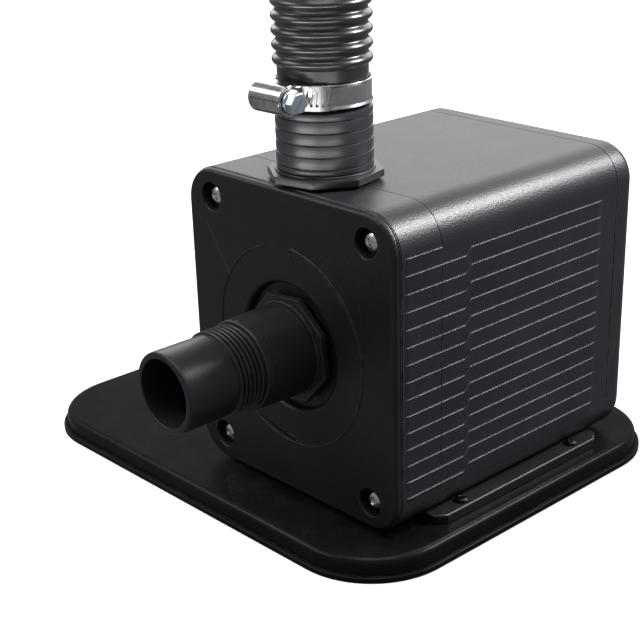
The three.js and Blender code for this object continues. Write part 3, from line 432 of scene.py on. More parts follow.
def cross_recess(radius, depth):
    """The two tapered blades that cut a cross recess, their mouth just above height 0."""
    blades = []
    corners_of_blade = ((-1, -1), (1, -1), (1, 1), (-1, 1))
    for turn in (0, pi / 2):
        rings = []
        for reach, width, height in ((radius, radius * 0.3, 0.4), (radius * 0.45, radius * 0.2, -depth)):
            rings.append([(reach * sx, width * sy, height) for sx, sy in corners_of_blade])
        blades.append(moved(skin(rings), Matrix.Rotation(turn, 4, "Z")))
    return blades


def pan_screw(shank, length, head, height, pitch=1.1):
    """Pan-head cross-recess screw along +Z with its seat at height 0 and a threaded shank below."""
    root, neck, crown = shank * 0.8, shank * 0.85, head * 0.62
    first_turn = -length + 1.2
    line = [(0, -length), (shank * 0.55, -length), (root, -length + 1)]
    turns = int((length - 3) / pitch)
    for k in range(turns):
        start = first_turn + k * pitch
        line += [(root, start), (shank, start + pitch * 0.5)]
    line += [(root, first_turn + turns * pitch), (neck, 0)]
    line += rounded_line([(neck, 0), (head, 0, 0.15), (head, height * 0.55, 0.5),
                          (crown, height, head * 0.9), (0, height)], 7)[1:]
    blank = turned(line, 48, False)
    recess = [moved(blade, at(0, 0, height)) for blade in cross_recess(crown, height * 0.75)]
    return carve(blank, *recess)


# Plated steel: faint drag marks, small stains where the plating has dulled, brighter rims.
plated_marks, given, result = group_of("plated marks", {"Stretch": (1.0, 1.0, 8.0)}, ("Marks", "Stain"))
tree = plated_marks
here = object_place(tree)
along = wired(tree, "ShaderNodeVectorMath", {0: here, 1: given["Stretch"]}, operation="MULTIPLY").outputs[0]
drag = noise(tree, along, 900.0, detail=5.0, roughness=0.7)
stain = noise(tree, here, 190.0, detail=4.0, roughness=0.6)
tree.links.new(drag, result["Marks"])
tree.links.new(stretched(tree, stain, 0.42, 0.68), result["Stain"])


bare_metal = (0.92, 0.92, 0.92)


def metal(name, bright, dull, rough, stretch, depth=0.004):
    """Bare or plated metal: bright tone with duller stains and fine marks."""
    def build(tree):
        marks = placed(tree, plated_marks, stretch=stretch)
        worn = maths(tree, "MULTIPLY", placed(tree, rubbed_edges, width=0.0004)["Mask"], 0.6)
        colour = blended(tree, worn, blended(tree, marks["Stain"], bright, dull), bare_metal)
        even = stretched(tree, marks["Marks"], to_low=rough - 0.08, to_high=rough + 0.1)
        bump_inputs = {"Strength": 0.6, "Distance": depth * MM, "Height": marks["Marks"]}
        bump = wired(tree, "ShaderNodeBump", bump_inputs)
        return colour, even, bump
    return finish(name, build, Metallic=1.0)


black_zinc = metal("black zinc plate", (0.03, 0.03, 0.033), (0.015, 0.015, 0.017), 0.42, (1.0, 1.0, 1.0))
for number in range(1, 5):
    low, high = span(f"rail_screw_{number}")
    seat = rail_high.z + gap
    screw = pan_screw(1.6, seat - low.z, 2.6, high.z - seat)
    screw = moved(screw, at((low.x + high.x) / 2, (low.y + high.y) / 2, seat))
    piece(f"rail_screw_{number}_steel", screw, black_zinc, f"rail_screw_{number}", pump_place)

# ---- Front panel --------------------------------------------------------------------------------
# Flat ABS face of the pump with a softened edge, a sunk cup for each corner screw, the round opening
# that clears the suction flange, and a shallow ring groove with a gap at its top.

outer_x, outer_z = body_width / 2, body_height / 2
panel_depth, panel_edge = 3, 1.9
screw_low, screw_high = span("panel_screw_1")
screw_x, screw_z = (screw_low.x + screw_high.x) / 2, (screw_low.z + screw_high.z) / 2
corners = ((1, 1), (-1, 1), (-1, -1), (1, -1))
cup_bore, cup_depth, cup_wall, cup_floor = 5.7, 5.2, 1.8, 1.4
cup_start = 2.5
cup_reach = cup_depth + cup_floor - cup_start
long_screw_hole = 2.3
panel_opening, opening_rim = 25.8, 2.3
ring_groove = 40.8
gap_left, gap_right = 106.5, 85.8
to_rear = Matrix.Rotation(radians(-90), 4, "X")
to_front = Matrix.Rotation(radians(90), 4, "X")


def body_outline(inset, y, steps=12):
    """The body's rounded outline at depth y, drawn in by inset."""
    outline = rounded_box(body_width - 2 * inset, body_height - 2 * inset, body_corner - inset, steps)
    return [(x, y, z) for x, z in outline]


def bore(radius, depth, rim, sides=64):
    """Cutter for a hole from height 0 down to depth along +Z, its mouth rounded by rim."""
    line = [(0, -2), (radius + rim, -2)]
    for k in range(7):
        a = pi / 2 * k / 6
        line.append((radius + rim - rim * sin(a), rim - rim * cos(a)))
    return turned(line + [(radius, depth), (0, depth)], sides, False)


def rod(points, radius, sides=10):
    """A round bar along points in the panel's face, for grooves and small ribs."""
    rings = []
    for i, point in enumerate(points):
        way = (Vector(points[min(i + 1, len(points) - 1)]) - Vector(points[max(i - 1, 0)])).normalized()
        across = way.cross(Vector((0, 1, 0)))
        ring = []
        for k in range(sides):
            a = 2 * pi * k / sides
            ring.append(Vector(point) + across * radius * cos(a) + Vector((0, radius * sin(a), 0)))
        rings.append(ring)
    return skin(rings)


def ring_arc(radius, start, end, steps=120):
    """Points on a ring in the panel's face; angles in degrees, anticlockwise from +X."""
    angles = [radians(start + (end - start) * k / steps) for k in range(steps + 1)]
    return [(radius * cos(a), 0, radius * sin(a)) for a in angles]


def round_the_axis(bm, x, y, z, towards=to_rear):
    """A turned piece laid along the pump's depth."""
    return moved(bm, towards, at(x, y, z))


bevel_line = rounded_line([
    (5, 0), (0.35, 0, panel_edge), (0.35, 2.35, 0.1), (0, 2.62, 0.12), (0, 2.88), (0.12, panel_depth)
], 6)
panel = skin([body_outline(inset, y) for inset, y in bevel_line])
cups, bores, holes = [], [], []
for sx, sz in corners:
    x, z = sx * screw_x, sz * screw_z
    cups.append(round_the_axis(turned(plug_line(cup_bore + cup_wall, 0, cup_reach), 64, False), x, cup_start, z))
    bores.append(round_the_axis(bore(cup_bore, cup_depth, 0.5), x, 0, z))
    holes.append(round_the_axis(turned(plug_line(long_screw_hole, 0, 5), 40, False), x, 4, z))
panel = carve(panel, together(*cups), operation="UNION")
opening = round_the_axis(bore(panel_opening, panel_depth + 2, opening_rim, 160), 0, 0, 0)
panel = carve(panel, together(*bores, opening), together(*holes))
groove = rod(ring_arc(ring_groove + 0.3, gap_left - 360, gap_right, 240), 0.34)
faint = rod(ring_arc(ring_groove - 0.95, 25, 80, 60), 0.13, 8)
chord = rod([(-21.8, 0, -35.2), (2.6, 0, -40.5)], 0.24)
short_chord = rod([(-2.1, 0, -38.1), (2.2, 0, -39.0)], 0.16)
panel = carve(panel, groove, faint, chord, short_chord)
ticks = []
for degrees_round, reach in ((gap_left, 0.9), (gap_right, 0.9), (96, 0.5)):
    a = radians(degrees_round)
    ends = [(r * cos(a), 0.02, r * sin(a)) for r in (ring_groove - reach, ring_groove + reach)]
    ticks.append(rod(ends, 0.26))
dot_line = [(0, -0.6), (0.62, -0.6), (0.62, 0.1), (0.42, 0.28), (0, 0.34)]
for x, z in ((2.5, 38.3), (2.6, -40.3)):
    ticks.append(round_the_axis(turned(dot_line, 24, False), x, 0, z, to_front))
panel = carve(panel, *ticks, operation="UNION")

body_plastic = moulded("black body plastic", (0.0095, 0.0099, 0.0126), (0.014, 0.0144, 0.018),
                       0.37, 0.0006, 0.14, Specular_IOR_Level=0.36)
piece("panel", panel, body_plastic, "front_panel", pump_place, crease=34)

# ---- Panel and cover screws ---------------------------------------------------------------------
# Eight long pan-head screws, bright zinc plate over steel, driven into the shells' corner posts:
# four from the front, deep in the panel's cups, and four from the rear.

zinc_plate = metal("bright zinc plate", (0.86, 0.86, 0.84), (0.6, 0.6, 0.59), 0.2, (1.0, 1.0, 1.0))
head_height, head_rise = 2.2, 0.8
for kind, towards in (("panel", -1), ("cover", 1)):
    for number in range(1, 5):
        name = f"{kind}_screw_{number}"
        low, high = span(name)
        head = (high.x - low.x) / 2
        seat = low.y + head_height - head_rise if towards < 0 else high.y - head_height
        length = high.y - seat if towards < 0 else seat - low.y
        screw = pan_screw(2.0, length, head, head_height, 1.6)
        turn = to_front if towards < 0 else to_rear
        spin = Matrix.Rotation(radians(17 * number), 4, "Z")
        screw = moved(screw, spin, turn, at((low.x + high.x) / 2, seat, (low.z + high.z) / 2))
        piece(name + "_steel", screw, zinc_plate, name, pump_place)

# ---- Body shells --------------------------------------------------------------------------------
# Front and middle ABS shells, injection moulded, that meet in a fine seam. Both sides carry stepped
# louvre ledges, the front run set lower, joined by a smooth jog; corner posts inside take the screws.

louvre_pitch, louvre_reach, louvre_count, ledge_round = 6.88, 0.5, 15, 0.25
louvre_top, louvre_drop = 45 + louvre_pitch, 2.8
shell_wall = 2.8
side_foot = -(outer_z - body_corner) + 0.1
seam_chamfer = 0.1


def smooth(value):
    """An S-shaped rise from 0 to 1."""
    value = min(max(value, 0), 1)
    return value * value * (3 - 2 * value)


def shell_ring(y, inset=0.0, reach=louvre_reach, shift=0.0, extra=True):
    """Outline of a shell at depth y: rounded corners, and sides stepped into upward ledges."""
    radius = body_corner - inset
    cx, cz = outer_x - body_corner, outer_z - body_corner
    side = outer_x - inset
    right = []
    for k in range(13):
        a = radians(-90 + 90 * k / 12)
        right.append((cx + radius * cos(a), -cz + radius * sin(a)))
    for i in range(louvre_count - 1, -1, -1):
        top = min(louvre_top - i * louvre_pitch + shift, cz - 0.2)
        foot = max(louvre_top - (i + 1) * louvre_pitch + shift, side_foot)
        stand = reach if i or extra else 0
        right.append((side, foot + 0.05))
        for k in range(4):
            a = radians(30 * k)
            out = max(stand - ledge_round * (1 - cos(a)), 0)
            right.append((side + out, top - ledge_round * (1 - sin(a))))
        right.append((side, top + 0.03))
    for k in range(1, 13):
        a = radians(90 * k / 12)
        right.append((cx + radius * cos(a), cz + radius * sin(a)))
    left = [(-x, z) for x, z in reversed(right)]
    return [(x, y, z) for x, z in right + left]


shell_low, shell_high = span("front_shell")
seam_close = 0.1
front_start, front_end = shell_low.y, shell_high.y + seam_close
mid_low, mid_high = span("mid_shell")
mid_start, mid_end = mid_low.y, mid_high.y
outlet_low, outlet_high = span("outlet_hose")
outlet_y = (outlet_low.y + outlet_high.y) / 2
port_hole = 15.5
front_post, front_pocket, post_drop = 9.6, 7.8, 1.2


def block(inset, y0, y1):
    """The body's full section between two depths."""
    return skin([body_outline(inset, y0), body_outline(inset, y1)])


def pillar(radius, y0, y1, x, z, sides=48):
    """A round bar along the pump's depth."""
    return round_the_axis(turned(plug_line(radius, 0, y1 - y0), sides, False), x, y0, z)


def pillars(radius, y0, y1):
    """One at each corner screw."""
    return [pillar(radius, y0, y1, sx * screw_x, sz * screw_z) for sx, sz in corners]


def port(y):
    """Cutter for the outlet's round hole in the top."""
    return moved(turned(plug_line(port_hole, 40, 80), 96, False), at(0, y, 0))


stations = [(front_start, seam_chamfer, 0), (front_start + seam_chamfer, 0, 0), (front_start + 1.2, 0, 0),
            (front_start + 1.7, 0, 0.1), (front_start + 2.4, 0, 0.4), (front_start + 2.9, 0, louvre_reach),
            (front_end - seam_chamfer, 0, louvre_reach), (front_end, seam_chamfer, louvre_reach)]
front = skin([shell_ring(y, inset, reach, -louvre_drop) for y, inset, reach in stations])
posts = together(*pillars(front_post, front_start + 0.5, front_end))
posts = carve(posts, block(post_drop, front_start, front_end + 1), operation="INTERSECT")
pockets = pillars(front_pocket, front_start - 2, 6.9)
holes = pillars(long_screw_hole, 5, front_end + 2)
inlet_hole = pillar(port_hole, 0, 7, 0, 0, 96)
front = carve(front, block(shell_wall, front_start + shell_wall, front_end + 1))
front = carve(front, posts, operation="UNION")
front = carve(front, together(*pockets), together(*holes), inlet_hole, port(outlet_y))
piece("shell_front", front, body_plastic, "front_shell", pump_place)

jog_start, jog_end = mid_start + 12.2, mid_start + 16.4
taper_start, taper_end = mid_end - 12.4, mid_end - 9.0
stations = [(mid_start, seam_chamfer, louvre_reach, -louvre_drop),
            (mid_start + seam_chamfer, 0, louvre_reach, -louvre_drop),
            (jog_start, 0, louvre_reach, -louvre_drop)]
for k in range(1, 12):
    share = k / 12
    y = jog_start + (jog_end - jog_start) * share
    stations.append((y, 0, louvre_reach, -louvre_drop * (1 - smooth(share))))
stations += [(jog_end, 0, louvre_reach, 0), (taper_start, 0, louvre_reach, 0),
             (taper_start * 0.67 + taper_end * 0.33, 0, 0.4, 0),
             (taper_start * 0.33 + taper_end * 0.67, 0, 0.14, 0),
             (taper_end, 0, 0, 0), (mid_end - seam_chamfer, 0, 0, 0), (mid_end, seam_chamfer, 0, 0)]
outside = [shell_ring(y, inset, reach, shift, extra=False) for y, inset, reach, shift in stations]
inside = [shell_ring(y, shell_wall, 0, 0) for y in (mid_end, mid_start)]
middle = skin(outside + inside, closed=True)
post_radius, web_half = 7, 1
posts, pilots = [], []
for sx, sz in corners:
    x, z, wall_x = sx * screw_x, sz * screw_z, sx * (outer_x - 1.5)
    for y0, y1, hole_start, hole_end in ((mid_start, mid_start + 26, mid_start - 1, mid_start + 22),
                                         (mid_end - 20, mid_end, mid_end - 17, mid_end + 1)):
        posts.append(pillar(post_radius, y0, y1, x, z))
        web = ((x, z - web_half), (wall_x, z - web_half), (wall_x, z + web_half), (x, z + web_half))
        posts.append(skin([[(web_x, y, web_z) for web_x, web_z in web] for y in (y0, y1)]))
        pilots.append(pillar(long_screw_hole, hole_start, hole_end, x, z))
for post in posts:
    middle = carve(middle, post, operation="UNION")
middle = carve(middle, together(*pilots), port(outlet_y))
piece("shell_middle", middle, body_plastic, "mid_shell", pump_place)

# ---- Rear cover ---------------------------------------------------------------------------------
# ABS cap that closes the body at the back, well rounded at its edge, with sunk screw seats and the
# threaded hole for the cable gland.

cover_low, cover_high = span("rear_cover")
rear_edge = 6
cover_seat_radius, cover_seat_depth = 4.4, 3.4
gland_low, gland_high = span("gland_nut")
gland_z = (gland_low.z + gland_high.z) / 2
gland_hole_radius = 8.3
rings = [body_outline(inset, y) for inset, y in (
    (shell_wall + 3.5, cover_high.y - shell_wall), (shell_wall + 1, cover_high.y - shell_wall - 1),
    (shell_wall, cover_high.y - rear_edge - 0.5), (shell_wall, cover_low.y),
    (seam_chamfer, cover_low.y), (0, cover_low.y + seam_chamfer))]
for k in range(11):
    a = pi / 2 * k / 10
    rings.append(body_outline(rear_edge * (1 - cos(a)), cover_high.y - rear_edge + rear_edge * sin(a)))
cover = skin(rings)
cover = carve(cover, together(*pillars(7.5, cover_low.y, cover_high.y - 1)), operation="UNION")
seats = []
for sx, sz in corners:
    seat_bore = bore(cover_seat_radius, cover_seat_depth, 0.7)
    seats.append(round_the_axis(seat_bore, sx * screw_x, cover_high.y, sz * screw_z, to_front))
holes = pillars(long_screw_hole, cover_low.y - 1, cover_high.y - 2)
gland_hole = pillar(gland_hole_radius, cover_low.y, cover_high.y + 1, 0, gland_z, 96)
cover = carve(cover, together(*seats), together(*holes), gland_hole)
piece("rear_cap", cover, body_plastic, "rear_cover", pump_place, crease=34)

# ---- Hose tails ---------------------------------------------------------------------------------
# Two stepped ABS hose tails, octagonal spanner flange at the foot, screwed into the suction port at
# the front and the delivery port on top; injection moulded, with shallow bands and grip ridges.

tail_neck, tail_neck_length, neck_wall = 12.3, 12, 2.3
neck_bore, thread_root, thread_pitch, thread_turns = tail_neck - neck_wall, tail_neck - 0.75, 1.8, 6
flange_corner, flange_thickness = 23, 3
tail_small, tail_large = 16, 18.7
large_end, ridges_end, tail_tip = 27.5, 39.5, 62.5
mouth = 13.4


def tail_line(outside):
    """Outline of a hose tail: neck with its thread, flange seat, the given outside, mouth and bore."""
    line = [(neck_bore, -tail_neck_length), (tail_neck - 0.8, -tail_neck_length)]
    for k in range(thread_turns):
        start = -tail_neck_length + 0.6 + k * thread_pitch
        line += [(thread_root, start), (tail_neck, start + 0.7), (tail_neck, start + 1.0),
                 (thread_root, start + 1.7)]
    line += [(thread_root, 0)]
    collar, collar_top = tail_large + 0.6, flange_thickness + 0.8
    line += rounded_line([(tail_neck, 0), (collar, 0), (collar, collar_top, 0.3),
                          (tail_large - 0.6, collar_top)], 4)
    line += outside
    line += rounded_line([(tail_small - 0.05, ridges_end + 0.6), (tail_small - 0.1, tail_tip, 0.8),
                          (mouth, tail_tip, 0.35), (mouth, flange_thickness + 1, 1),
                          (neck_bore, flange_thickness - 2, 1), (neck_bore, -tail_neck_length + 0.1)], 5)
    return line


def groove_line(radius, places, width, depth):
    """Points down a plain step with shallow turned grooves."""
    line = []
    for place in places:
        line += [(radius, place - width), (radius - depth, place - width * 0.4),
                 (radius - depth, place + width * 0.4), (radius, place + width)]
    return line


def many_sided(count, radius, rounding, first=0.0, steps=5):
    """A regular outline with rounded corners, its first corner at an angle in degrees."""
    angles = [radians(first + 360 / count * k) for k in range(count)]
    return rounded_line([(radius * cos(a), radius * sin(a), rounding) for a in angles], steps, True)


def octagon_flange(first_corner):
    """Eight-sided collar with eased corners and edges."""
    rings = []
    for inset, height in ((0.5, 0.02), (0.12, 0.15), (0, 0.5), (0, flange_thickness - 0.6),
                          (0.18, flange_thickness - 0.17), (0.6, flange_thickness)):
        points = many_sided(8, flange_corner - inset, 1.6, first_corner, 6)
        rings.append([(x, y, height) for x, y in points])
    return skin(rings)


tail_plastic = moulded("tail plastic", (0.0145, 0.0148, 0.018), (0.021, 0.0213, 0.025),
                       0.34, 0.0005, 0.007, Specular_IOR_Level=0.4)

large_step = [(tail_large - 0.4, 4.0), (tail_large, 4.6)]
for place in range(7, 25, 2):
    large_step += groove_line(tail_large - 0.032 * (place - 4), (place,), 0.3, 0.035)
large_step += rounded_line([(tail_large - 0.6, 24), (tail_large - 0.75, large_end - 0.1, 1.0),
                            (tail_small + 0.3, large_end, 0.2), (tail_small + 0.1, large_end + 0.4)], 5)
ridge_line = []
ridge_pitch = (ridges_end - large_end) / 6
for k in range(6):
    start = large_end + 0.4 + k * ridge_pitch
    for share in (0.14, 0.24, 0.36, 0.5, 0.62, 0.7, 0.76):
        swell = sin(pi * (share - 0.08) / 0.72) ** 0.5
        ridge_line.append((tail_small - 0.1 + 1.2 * swell, start + ridge_pitch * share))
    ridge_line.append((tail_small - 0.12, start + ridge_pitch * 0.82))
    ridge_line.append((tail_small - 0.12, start + ridge_pitch))
small_step = groove_line(tail_small - 0.03, range(42, 61, 2), 0.3, 0.03)
inlet_line = tail_line(large_step + ridge_line)
tip_at = next(i for i, (r, h) in enumerate(inlet_line) if h > ridges_end + 0.5)
inlet_line[tip_at + 1:tip_at + 1] = [(r, h) for r, h in small_step if h > ridges_end + 1]
inlet = carve(turned(inlet_line, 128), octagon_flange(27), operation="UNION")
nub_line = [(0, 0), (0.9, 0), (0.9, 1.1), (0.6, 1.4), (0, 1.45)]
nub = moved(turned(nub_line, 24, False), to_rear, at(0, tail_large - 1.6, 25.6))
inlet = carve(inlet, nub, operation="UNION")
tail_seat = span("inlet_tail")[1].y - tail_neck_length
piece("suction_tail", inlet, tail_plastic, "inlet_tail",
      pump_place @ at(0, tail_seat, 0) @ to_front, crease=28)

crown_ends = (4.2, 6.2, 10.8, 15.3, 19.8, 24.4, 27.2)
crowns = [(tail_large - 0.5, 4.0)]
for low, high in zip(crown_ends, crown_ends[1:]):
    width = high - low
    crowns.append((tail_large - 0.75, low + 0.08))
    for share in (0.07, 0.12, 0.3, 0.5, 0.7, 0.88, 0.94):
        bulge = 1 - abs(2 * share - 1) ** 2
        crowns.append((tail_large - 0.22 + 0.2 * bulge, low + width * share))
crowns += [(tail_large - 1.2, large_end), (tail_small, large_end + 0.3)]
outlet = carve(turned(tail_line(crowns), 128), octagon_flange(-10), operation="UNION")
outlet_seat = span("outlet_tail")[0].z + tail_neck_length
piece("delivery_tail", outlet, tail_plastic, "outlet_tail",
      pump_place @ at(0, outlet_y, outlet_seat), crease=28)

# ---- Delivery hose connector --------------------------------------------------------------------
# Short moulded connector in glossy soft PVC: a plain cuff at each end and five rounded corrugations
# between, pushed over the top tail. It is stiff and stands by itself.

hose_place = pump_place @ at(0, outlet_y, outlet_low.z)
hose_bore, hose_cuff, hose_crest = 16.3, 17.2, 18.9
cuff_length, crest_pitch, crest_count = 13.5, 5.3, 5
hose_top = outlet_high.z - outlet_low.z
hose_line = rounded_line([(hose_bore, 0), (hose_cuff, 0, 0.3), (hose_cuff, cuff_length - 0.5)], 4)
for k in range(crest_count):
    start = cuff_length + k * crest_pitch
    for step in range(15):
        share = step / 14
        lift = sin(pi * min(max((share - 0.04) / 0.76, 0), 1)) ** 0.75
        hose_line.append((hose_cuff + (hose_crest - hose_cuff) * lift, start + crest_pitch * share * 0.98))
hose_line += rounded_line([(hose_cuff, hose_top - cuff_length + 0.4), (hose_cuff, hose_top, 0.4),
                           (hose_bore, hose_top, 0.3), (hose_bore, 0.1)], 4)
hose_plastic = moulded("glossy hose plastic", (0.008, 0.008, 0.0092), (0.012, 0.012, 0.0135),
                       0.3, 0.0012, 0.003, rubbed=(0.04, 0.04, 0.042), dusty=0.05,
                       Specular_IOR_Level=0.5, Coat_Weight=0.25, Coat_Roughness=0.12)
piece("hose_connector", turned(hose_line, 144), hose_plastic, "outlet_hose", hose_place,
      crease=40)

# ---- Hose clamp ---------------------------------------------------------------------------------
# Worm-drive clamp: a stainless band with flared edges, its slotted free end lying over the full
# turn, a pressed and rolled housing, and a zinc-plated worm screw with a slotted hexagon head.

band_low, band_high = span("clamp_band")
clamp_angle = -89
clamp_centre = at(0, outlet_y, (band_low.z + band_high.z) / 2)
clamp_place = pump_place @ clamp_centre @ Matrix.Rotation(radians(clamp_angle), 4, "Z")
band_half, band_thickness, band_flare = 4.5, 0.8, 0.6
band_inner = hose_cuff + gap
band_outer = band_inner + band_thickness
tongue_inner = band_outer + band_flare + gap
tongue_outer = tongue_inner + band_thickness
tongue_root, tongue_end = -14, 58
slot_count, slot_pitch, slot_lean = 5, 6.1, -11
barrel_x, barrel_radius, barrel_bore = tongue_outer + 4.2, 5.7, 4.1
barrel_back, barrel_front = -9, 8


def band_strip(inner, outer, start, end, half, cut_corner=0.0, steps=40):
    """A strip bent round the hose between two angles in degrees, its far corners cut off."""
    rings = []
    for k in range(steps + 1):
        share = k / steps
        a = radians(start + (end - start) * share)
        arc_left = radians(end - start) * (1 - share) * outer
        reach = half - max(0.0, cut_corner - arc_left)
        section = ((inner, -reach), (outer, -reach), (outer, reach), (inner, reach))
        rings.append([(radius * cos(a), radius * sin(a), height) for radius, height in section])
    return skin(rings)


flat = band_half - 1.2
band_line = rounded_line([
    (band_inner + band_flare, -band_half), (band_outer + band_flare, -band_half, 0.2),
    (band_outer, -flat, 1.2), (band_outer, flat, 1.2),
    (band_outer + band_flare, band_half, 0.2), (band_inner + band_flare, band_half),
    (band_inner, flat, 1.2), (band_inner, -flat, 1.2),
], 5, True)
band = turned(band_line, 144)
root = band_strip(band_inner + 0.3, tongue_inner + 0.4, tongue_root, tongue_root + 9, flat)
band = carve(band, root, operation="UNION")
tongue = band_strip(tongue_inner, tongue_outer, tongue_root, tongue_end, band_half, 2.2)
slots = []
for k in range(slot_count):
    slot_line = rounded_box(1.1, 6.2, 0.5, 5)
    slot = skin([[(tongue_inner - 1 + depth, x, z) for x, z in slot_line] for depth in (0, 4)])
    slot = moved(slot, Matrix.Rotation(radians(slot_lean), 4, "X"))
    slots.append(moved(slot, Matrix.Rotation(radians(tongue_end - 5 - slot_pitch * k), 4, "Z")))
band = carve(band, carve(tongue, together(*slots)), operation="UNION")
band_steel = metal("rolled stainless", (0.8, 0.79, 0.78), (0.6, 0.59, 0.58), 0.2, (1.0, 1.0, 9.0))
piece("clamp_strap", band, band_steel, "clamp_band", clamp_place, edge=0.1)

barrel = turned(rounded_line([
    (barrel_bore, barrel_back), (barrel_radius, barrel_back, 0.7),
    (barrel_radius - 0.1, barrel_front - 1.4, 0.2),
    (barrel_radius, barrel_front - 1.2, 0.2), (barrel_radius, barrel_front, 0.4),
    (barrel_bore, barrel_front, 0.3), (barrel_bore, 0),
], 5), 72)
barrel = moved(barrel, to_rear, at(barrel_x, 0, 0))
foot_half = band_half + 0.9
barrel_length, barrel_middle = barrel_front - barrel_back, ((barrel_front + barrel_back) / 2, 0)
foot_rings = []
for x, inset in ((tongue_outer - 3, 0), (barrel_x - 1.4, 0), (barrel_x - 0.9, 0.5), (barrel_x - 0.7, 1.4)):
    foot_line = rounded_box(barrel_length - inset, 2 * foot_half - inset, 1.6, 6, barrel_middle)
    foot_rings.append([(x, y, z) for y, z in foot_line])
foot = skin(foot_rings)
bore_cut = moved(turned(plug_line(barrel_bore, -20, 20), 72, False), to_rear, at(barrel_x, 0, 0))
sweep = turned(plug_line(tongue_outer + gap, -12, 12), 144, False)
housing = carve(carve(barrel, foot, operation="UNION"), bore_cut, sweep)
housing_steel = metal("pressed stainless", (0.6, 0.58, 0.57), (0.38, 0.37, 0.36), 0.17, (1.0, 1.0, 3.0))
piece("clamp_saddle", housing, housing_steel, "clamp_housing", clamp_place, edge=0.12)

worm = barrel_bore - gap
worm_root, worm_pitch = worm - 0.9, 2.1
worm_line = [(0, barrel_back + 0.6), (worm_root, barrel_back + 0.6)]
for k in range(int((barrel_length - 1.4) / worm_pitch)):
    start = barrel_back + 0.9 + worm_pitch * k
    worm_line += [(worm_root, start), (worm, start + 0.5), (worm, start + 1.2), (worm_root, start + 1.7)]
washer, washer_low, washer_high = 4.4, barrel_front + 0.4, barrel_front + 1.6
worm_line += [(worm_root, barrel_front)]
worm_line += rounded_line([(worm, barrel_front + 0.2), (worm, washer_low), (washer, washer_low, 0.3),
                           (washer, washer_high, 0.4), (3.9, washer_high), (0, washer_high)], 4)
hex_radius, hex_top = 4.1, barrel_front + 5.2
hex_rings = []
for radius, height in ((hex_radius - 0.1, washer_high - 0.2), (hex_radius, washer_high),
                       (hex_radius, hex_top)):
    hex_rings.append([(x, y, height) for x, y in many_sided(6, radius, 0.3, 0.0, 3)])
crown = turned([(0, 0), (hex_radius + 1, 0), (hex_radius + 1, hex_top - 1.3),
                (hex_radius - 0.75, hex_top), (0, hex_top)], 72, False)
head = carve(skin(hex_rings), crown, operation="INTERSECT")
screw = carve(turned(worm_line, 64, False), head, operation="UNION")
slot_mouth = ((-0.65, -6), (0.65, -6), (0.65, 6), (-0.65, 6))
driver_slot = skin([[(x, y, z) for x, y in slot_mouth] for z in (hex_top - 1.5, hex_top + 2)])
driver_slot_turn = -38
screw = carve(screw, moved(driver_slot, Matrix.Rotation(radians(driver_slot_turn), 4, "Z")))
screw = moved(screw, to_rear, at(barrel_x, 0, 0))
worm_zinc = metal("blue zinc plate", (0.66, 0.72, 0.78), (0.52, 0.58, 0.66), 0.32, (1.0, 1.0, 1.0), 0.001)
piece("clamp_worm_screw", screw, worm_zinc, "clamp_screw", clamp_place,
      body="clamp_worm", edge=0.08)

# ---- Cable gland --------------------------------------------------------------------------------
# Nylon cable gland in the rear cover: hexagon body, a domed clamping nut with grip ribs over it and
# a locknut inside. The power lead that it would hold is not part of this object.

gland_seat = cover_high.y + gap
gland_thread, gland_bore_radius, gland_reach = 8, 5.2, 15


def hexagon(radius, low, high):
    """A six-sided collar with eased corners and edges."""
    rings = []
    for inset, height in ((0.3, low), (0, low + 0.3), (0, high - 0.3), (0.3, high)):
        rings.append([(x, y, height) for x, y in many_sided(6, radius - inset, 0.8)])
    return skin(rings)


gland_place = pump_place @ at(0, gland_seat, gland_z) @ to_rear
gland_root, gland_sleeve, seal_seat = gland_thread - 0.7, gland_thread - 0.4, gland_bore_radius + 1
sleeve_top = 14.6
sleeve_line = [(gland_bore_radius, -gland_reach), (gland_thread - 0.8, -gland_reach)]
for k in range(9):
    start = -gland_reach + 0.6 + 1.5 * k
    sleeve_line += [(gland_root, start), (gland_thread, start + 0.6), (gland_thread, start + 0.8),
                    (gland_root, start + 1.4)]
sleeve_line += rounded_line([(gland_sleeve, 0), (gland_sleeve, sleeve_top, 0.6), (seal_seat, sleeve_top),
                             (seal_seat, 8), (gland_bore_radius, 7),
                             (gland_bore_radius, -gland_reach + 0.1)], 5)
collar = carve(hexagon(11, 0, 4.2), turned(plug_line(6, -1, 6), 64, False))
gland = carve(turned(sleeve_line, 96), collar, operation="UNION")
gland_plastic = moulded("gland nylon", (0.011, 0.011, 0.012), (0.017, 0.017, 0.0185),
                        0.4, 0.0005, 0.008, Specular_IOR_Level=0.4)
piece("gland_base", gland, gland_plastic, "gland_body", gland_place)

nut_bore, nut_low, nut_top, nut_mouth = gland_sleeve + gap, 4.6, 17.4, gland_bore_radius - 0.8
nut_line = rounded_line([
    (nut_bore, nut_low), (nut_bore + 2.1, nut_low, 0.2), (nut_bore + 2.1, 12.2, 1.5),
    (nut_bore + 1.3, 15.4, 2),
    (nut_bore - 0.5, nut_top, 1), (nut_mouth, nut_top, 0.4), (nut_mouth, 16.2),
    (nut_bore - 0.9, 15.2), (nut_bore, 15), (nut_bore, nut_low + 0.1),
], 6)
grip = carve(hexagon(nut_bore + 2.9, nut_low, 11), turned(plug_line(nut_bore + 0.4, 0, 14), 64, False))
nut = carve(turned(nut_line, 96), grip, operation="UNION")
piece("gland_cap", nut, gland_plastic, "gland_nut", gland_place)

# ---- Seals, rotor, motor and casing inside ------------------------------------------------------
# Parts closed in by the body: rubber seals and bushes, pump casing and can, nylon impeller on a
# ceramic shaft with its ferrite magnet, laminated core, wound bobbins, resin and terminal block.


def carried(material, *nodes):
    """Gives the CAD's own nodes their finish."""
    for node in nodes:
        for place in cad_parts[node].material_slots:
            place.material = material


